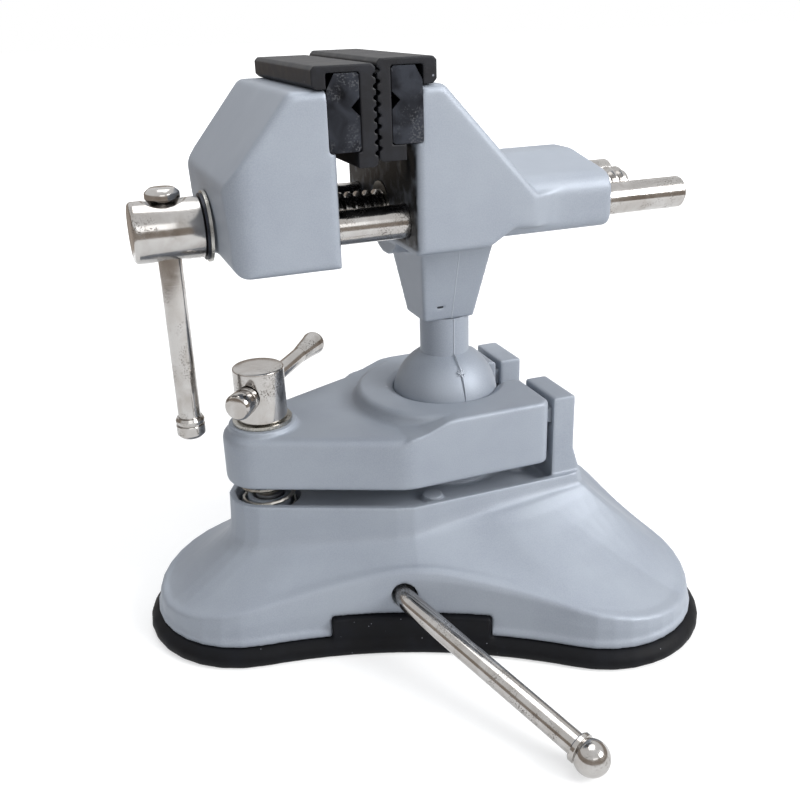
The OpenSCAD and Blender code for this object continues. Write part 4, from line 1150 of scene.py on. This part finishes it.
@dataclass
class Studio:
    """A white sweep, three far softboxes, a pale room and a brown card that only reflections show."""

    lamps: tuple[Softbox, ...] = (
        Softbox("key_softbox", (1.25, -1.15, 1.05), (0.9, 0.9), 36.0),
        Softbox("top_softbox", (0.2, 0.5, 2.2), (1.3, 1.3), 17.0),
        Softbox("fill_softbox", (-0.25, -2.1, 0.9), (1.2, 1.2), 7.0),
    )
    floor_colour: str = "#C4C4C4"
    floor_size: float = 12.0
    floor_lift: float = 0.52
    lift_from: float = 0.3
    lift_to: float = 1.0
    room_light: float = 0.62
    aim_height: float = 0.09
    card_radius: float = 0.55
    card_height: float = 0.27
    card_glow: tuple[float, float, float, float] = (0.40, 0.345, 0.30, 1.0)

    def floor(self) -> None:
        """Make the white floor, which still takes the vise's shadow."""
        clear_selection()
        bpy.ops.mesh.primitive_plane_add(size=self.floor_size, location=(0, 0, -0.05 * MM))
        plane = bpy.context.object
        plane.name = "studio_floor"
        material = bpy.data.materials.new("matt_paper_sweep")
        material.use_nodes = True
        tree = material.node_tree
        tree.nodes.clear()
        paper = add_node(tree, "BsdfDiffuse", {"Color": srgb(self.floor_colour)})
        place = add_node(tree, "TexCoord")
        away = add_node(tree, "VectorMath", {"operation": "LENGTH"})
        tree.links.new(place.outputs["Object"], away.inputs[0])
        level = add_node(tree, "MapRange", {"From Min": self.lift_from, "From Max": self.lift_to,
                                            "To Min": self.floor_lift},
                         {"Value": away.outputs["Value"]})
        lift = add_node(tree, "Math", {"operation": "MULTIPLY"}, {"Value": self.seen(tree)})
        tree.links.new(level.outputs["Result"], lift.inputs[1])
        glow = add_node(tree, "Emission", {"Color": (1, 1, 1, 1)}, {"Strength": lift.outputs["Value"]})
        both = add_node(tree, "AddShader")
        tree.links.new(paper.outputs["BSDF"], both.inputs[0])
        tree.links.new(glow.outputs["Emission"], both.inputs[1])
        add_node(tree, "OutputMaterial", links={"Surface": both.outputs["Shader"]})
        plane.data.materials.append(material)

    def seen(self, tree: bpy.types.NodeTree) -> bpy.types.NodeSocket:
        """Say whether a ray shows the background: straight, mirrored or through glass.

        Args:
            tree: The tree to add the nodes to.

        Returns:
            The socket, 1 for such a ray and 0 for a ray that lights the vise.
        """
        rays = add_node(tree, "LightPath")
        share = rays.outputs["Is Camera Ray"]
        for name in ("Is Glossy Ray", "Is Transmission Ray"):
            either = add_node(tree, "Math", {"operation": "MAXIMUM"}, {"Value": share})
            tree.links.new(rays.outputs[name], either.inputs[1])
            share = either.outputs["Value"]
        return share

    def card(self) -> None:
        """Stand a low brown card round the vise, which only its plating shows."""
        clear_selection()
        bpy.ops.mesh.primitive_cylinder_add(vertices=96, radius=self.card_radius, depth=self.card_height,
                                            end_fill_type="NOTHING", location=(0, 0, self.card_height / 2))
        card = bpy.context.object
        card.name = "brown_card"
        material = bpy.data.materials.new("brown_card")
        material.use_nodes = True
        tree = material.node_tree
        tree.nodes.clear()
        glow = add_node(tree, "Emission", {"Color": self.card_glow, "Strength": 1.0})
        add_node(tree, "OutputMaterial", links={"Surface": glow.outputs["Emission"]})
        card.data.materials.append(material)
        card.visible_camera = False
        card.visible_diffuse = False
        card.visible_shadow = False
        card.visible_transmission = False

    def room(self) -> None:
        """Make the world: a pale room that lights the vise, and white where it shows."""
        world = bpy.data.worlds.new("studio_room")
        world.use_nodes = True
        bpy.context.scene.world = world
        tree = world.node_tree
        tree.nodes.clear()
        place = add_node(tree, "TexCoord")
        parts = add_node(tree, "SeparateXYZ", links={"Vector": place.outputs["Generated"]})
        ramp = add_node(tree, "ValToRGB", links={"Fac": parts.outputs["Z"]})
        ramp.color_ramp.elements[0].position = 0.0
        ramp.color_ramp.elements[0].color = (0.5, 0.5, 0.5, 1)
        ramp.color_ramp.elements[1].position = 0.30
        ramp.color_ramp.elements[1].color = (0.94, 0.965, 1.0, 1)
        lit = add_node(tree, "Background", {"Strength": self.room_light}, {"Color": ramp.outputs["Color"]})
        shown = add_node(tree, "Background", {"Color": (1, 1, 1, 1), "Strength": 1.0})
        mixed = add_node(tree, "MixShader", links={"Fac": self.seen(tree)})
        tree.links.new(lit.outputs["Background"], mixed.inputs[1])
        tree.links.new(shown.outputs["Background"], mixed.inputs[2])
        add_node(tree, "OutputWorld", links={"Surface": mixed.outputs["Shader"]})

    def build(self) -> None:
        """Make the floor, the room and the lamps."""
        self.floor()
        self.card()
        self.room()
        for lamp in self.lamps:
            lamp.build(Vector((0.0, 0.0, self.aim_height)))
        bpy.context.scene.view_settings.view_transform = "Standard"


def main() -> None:
    """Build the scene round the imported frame."""
    logging.basicConfig(level=logging.INFO, format="%(name)s %(message)s")
    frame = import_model()
    PhotoCamera().build()
    finishes = Finishes()
    PlainNodes(finishes).build(frame)
    Castings(finishes).build(frame)
    RubberParts(finishes).build(frame)
    PartingLines(finishes).build(frame)
    TurnedMetal(finishes).build(frame)
    ViseScrew(finishes).build(frame)
    Studio().build()


if __name__ == "__main__":
    main()
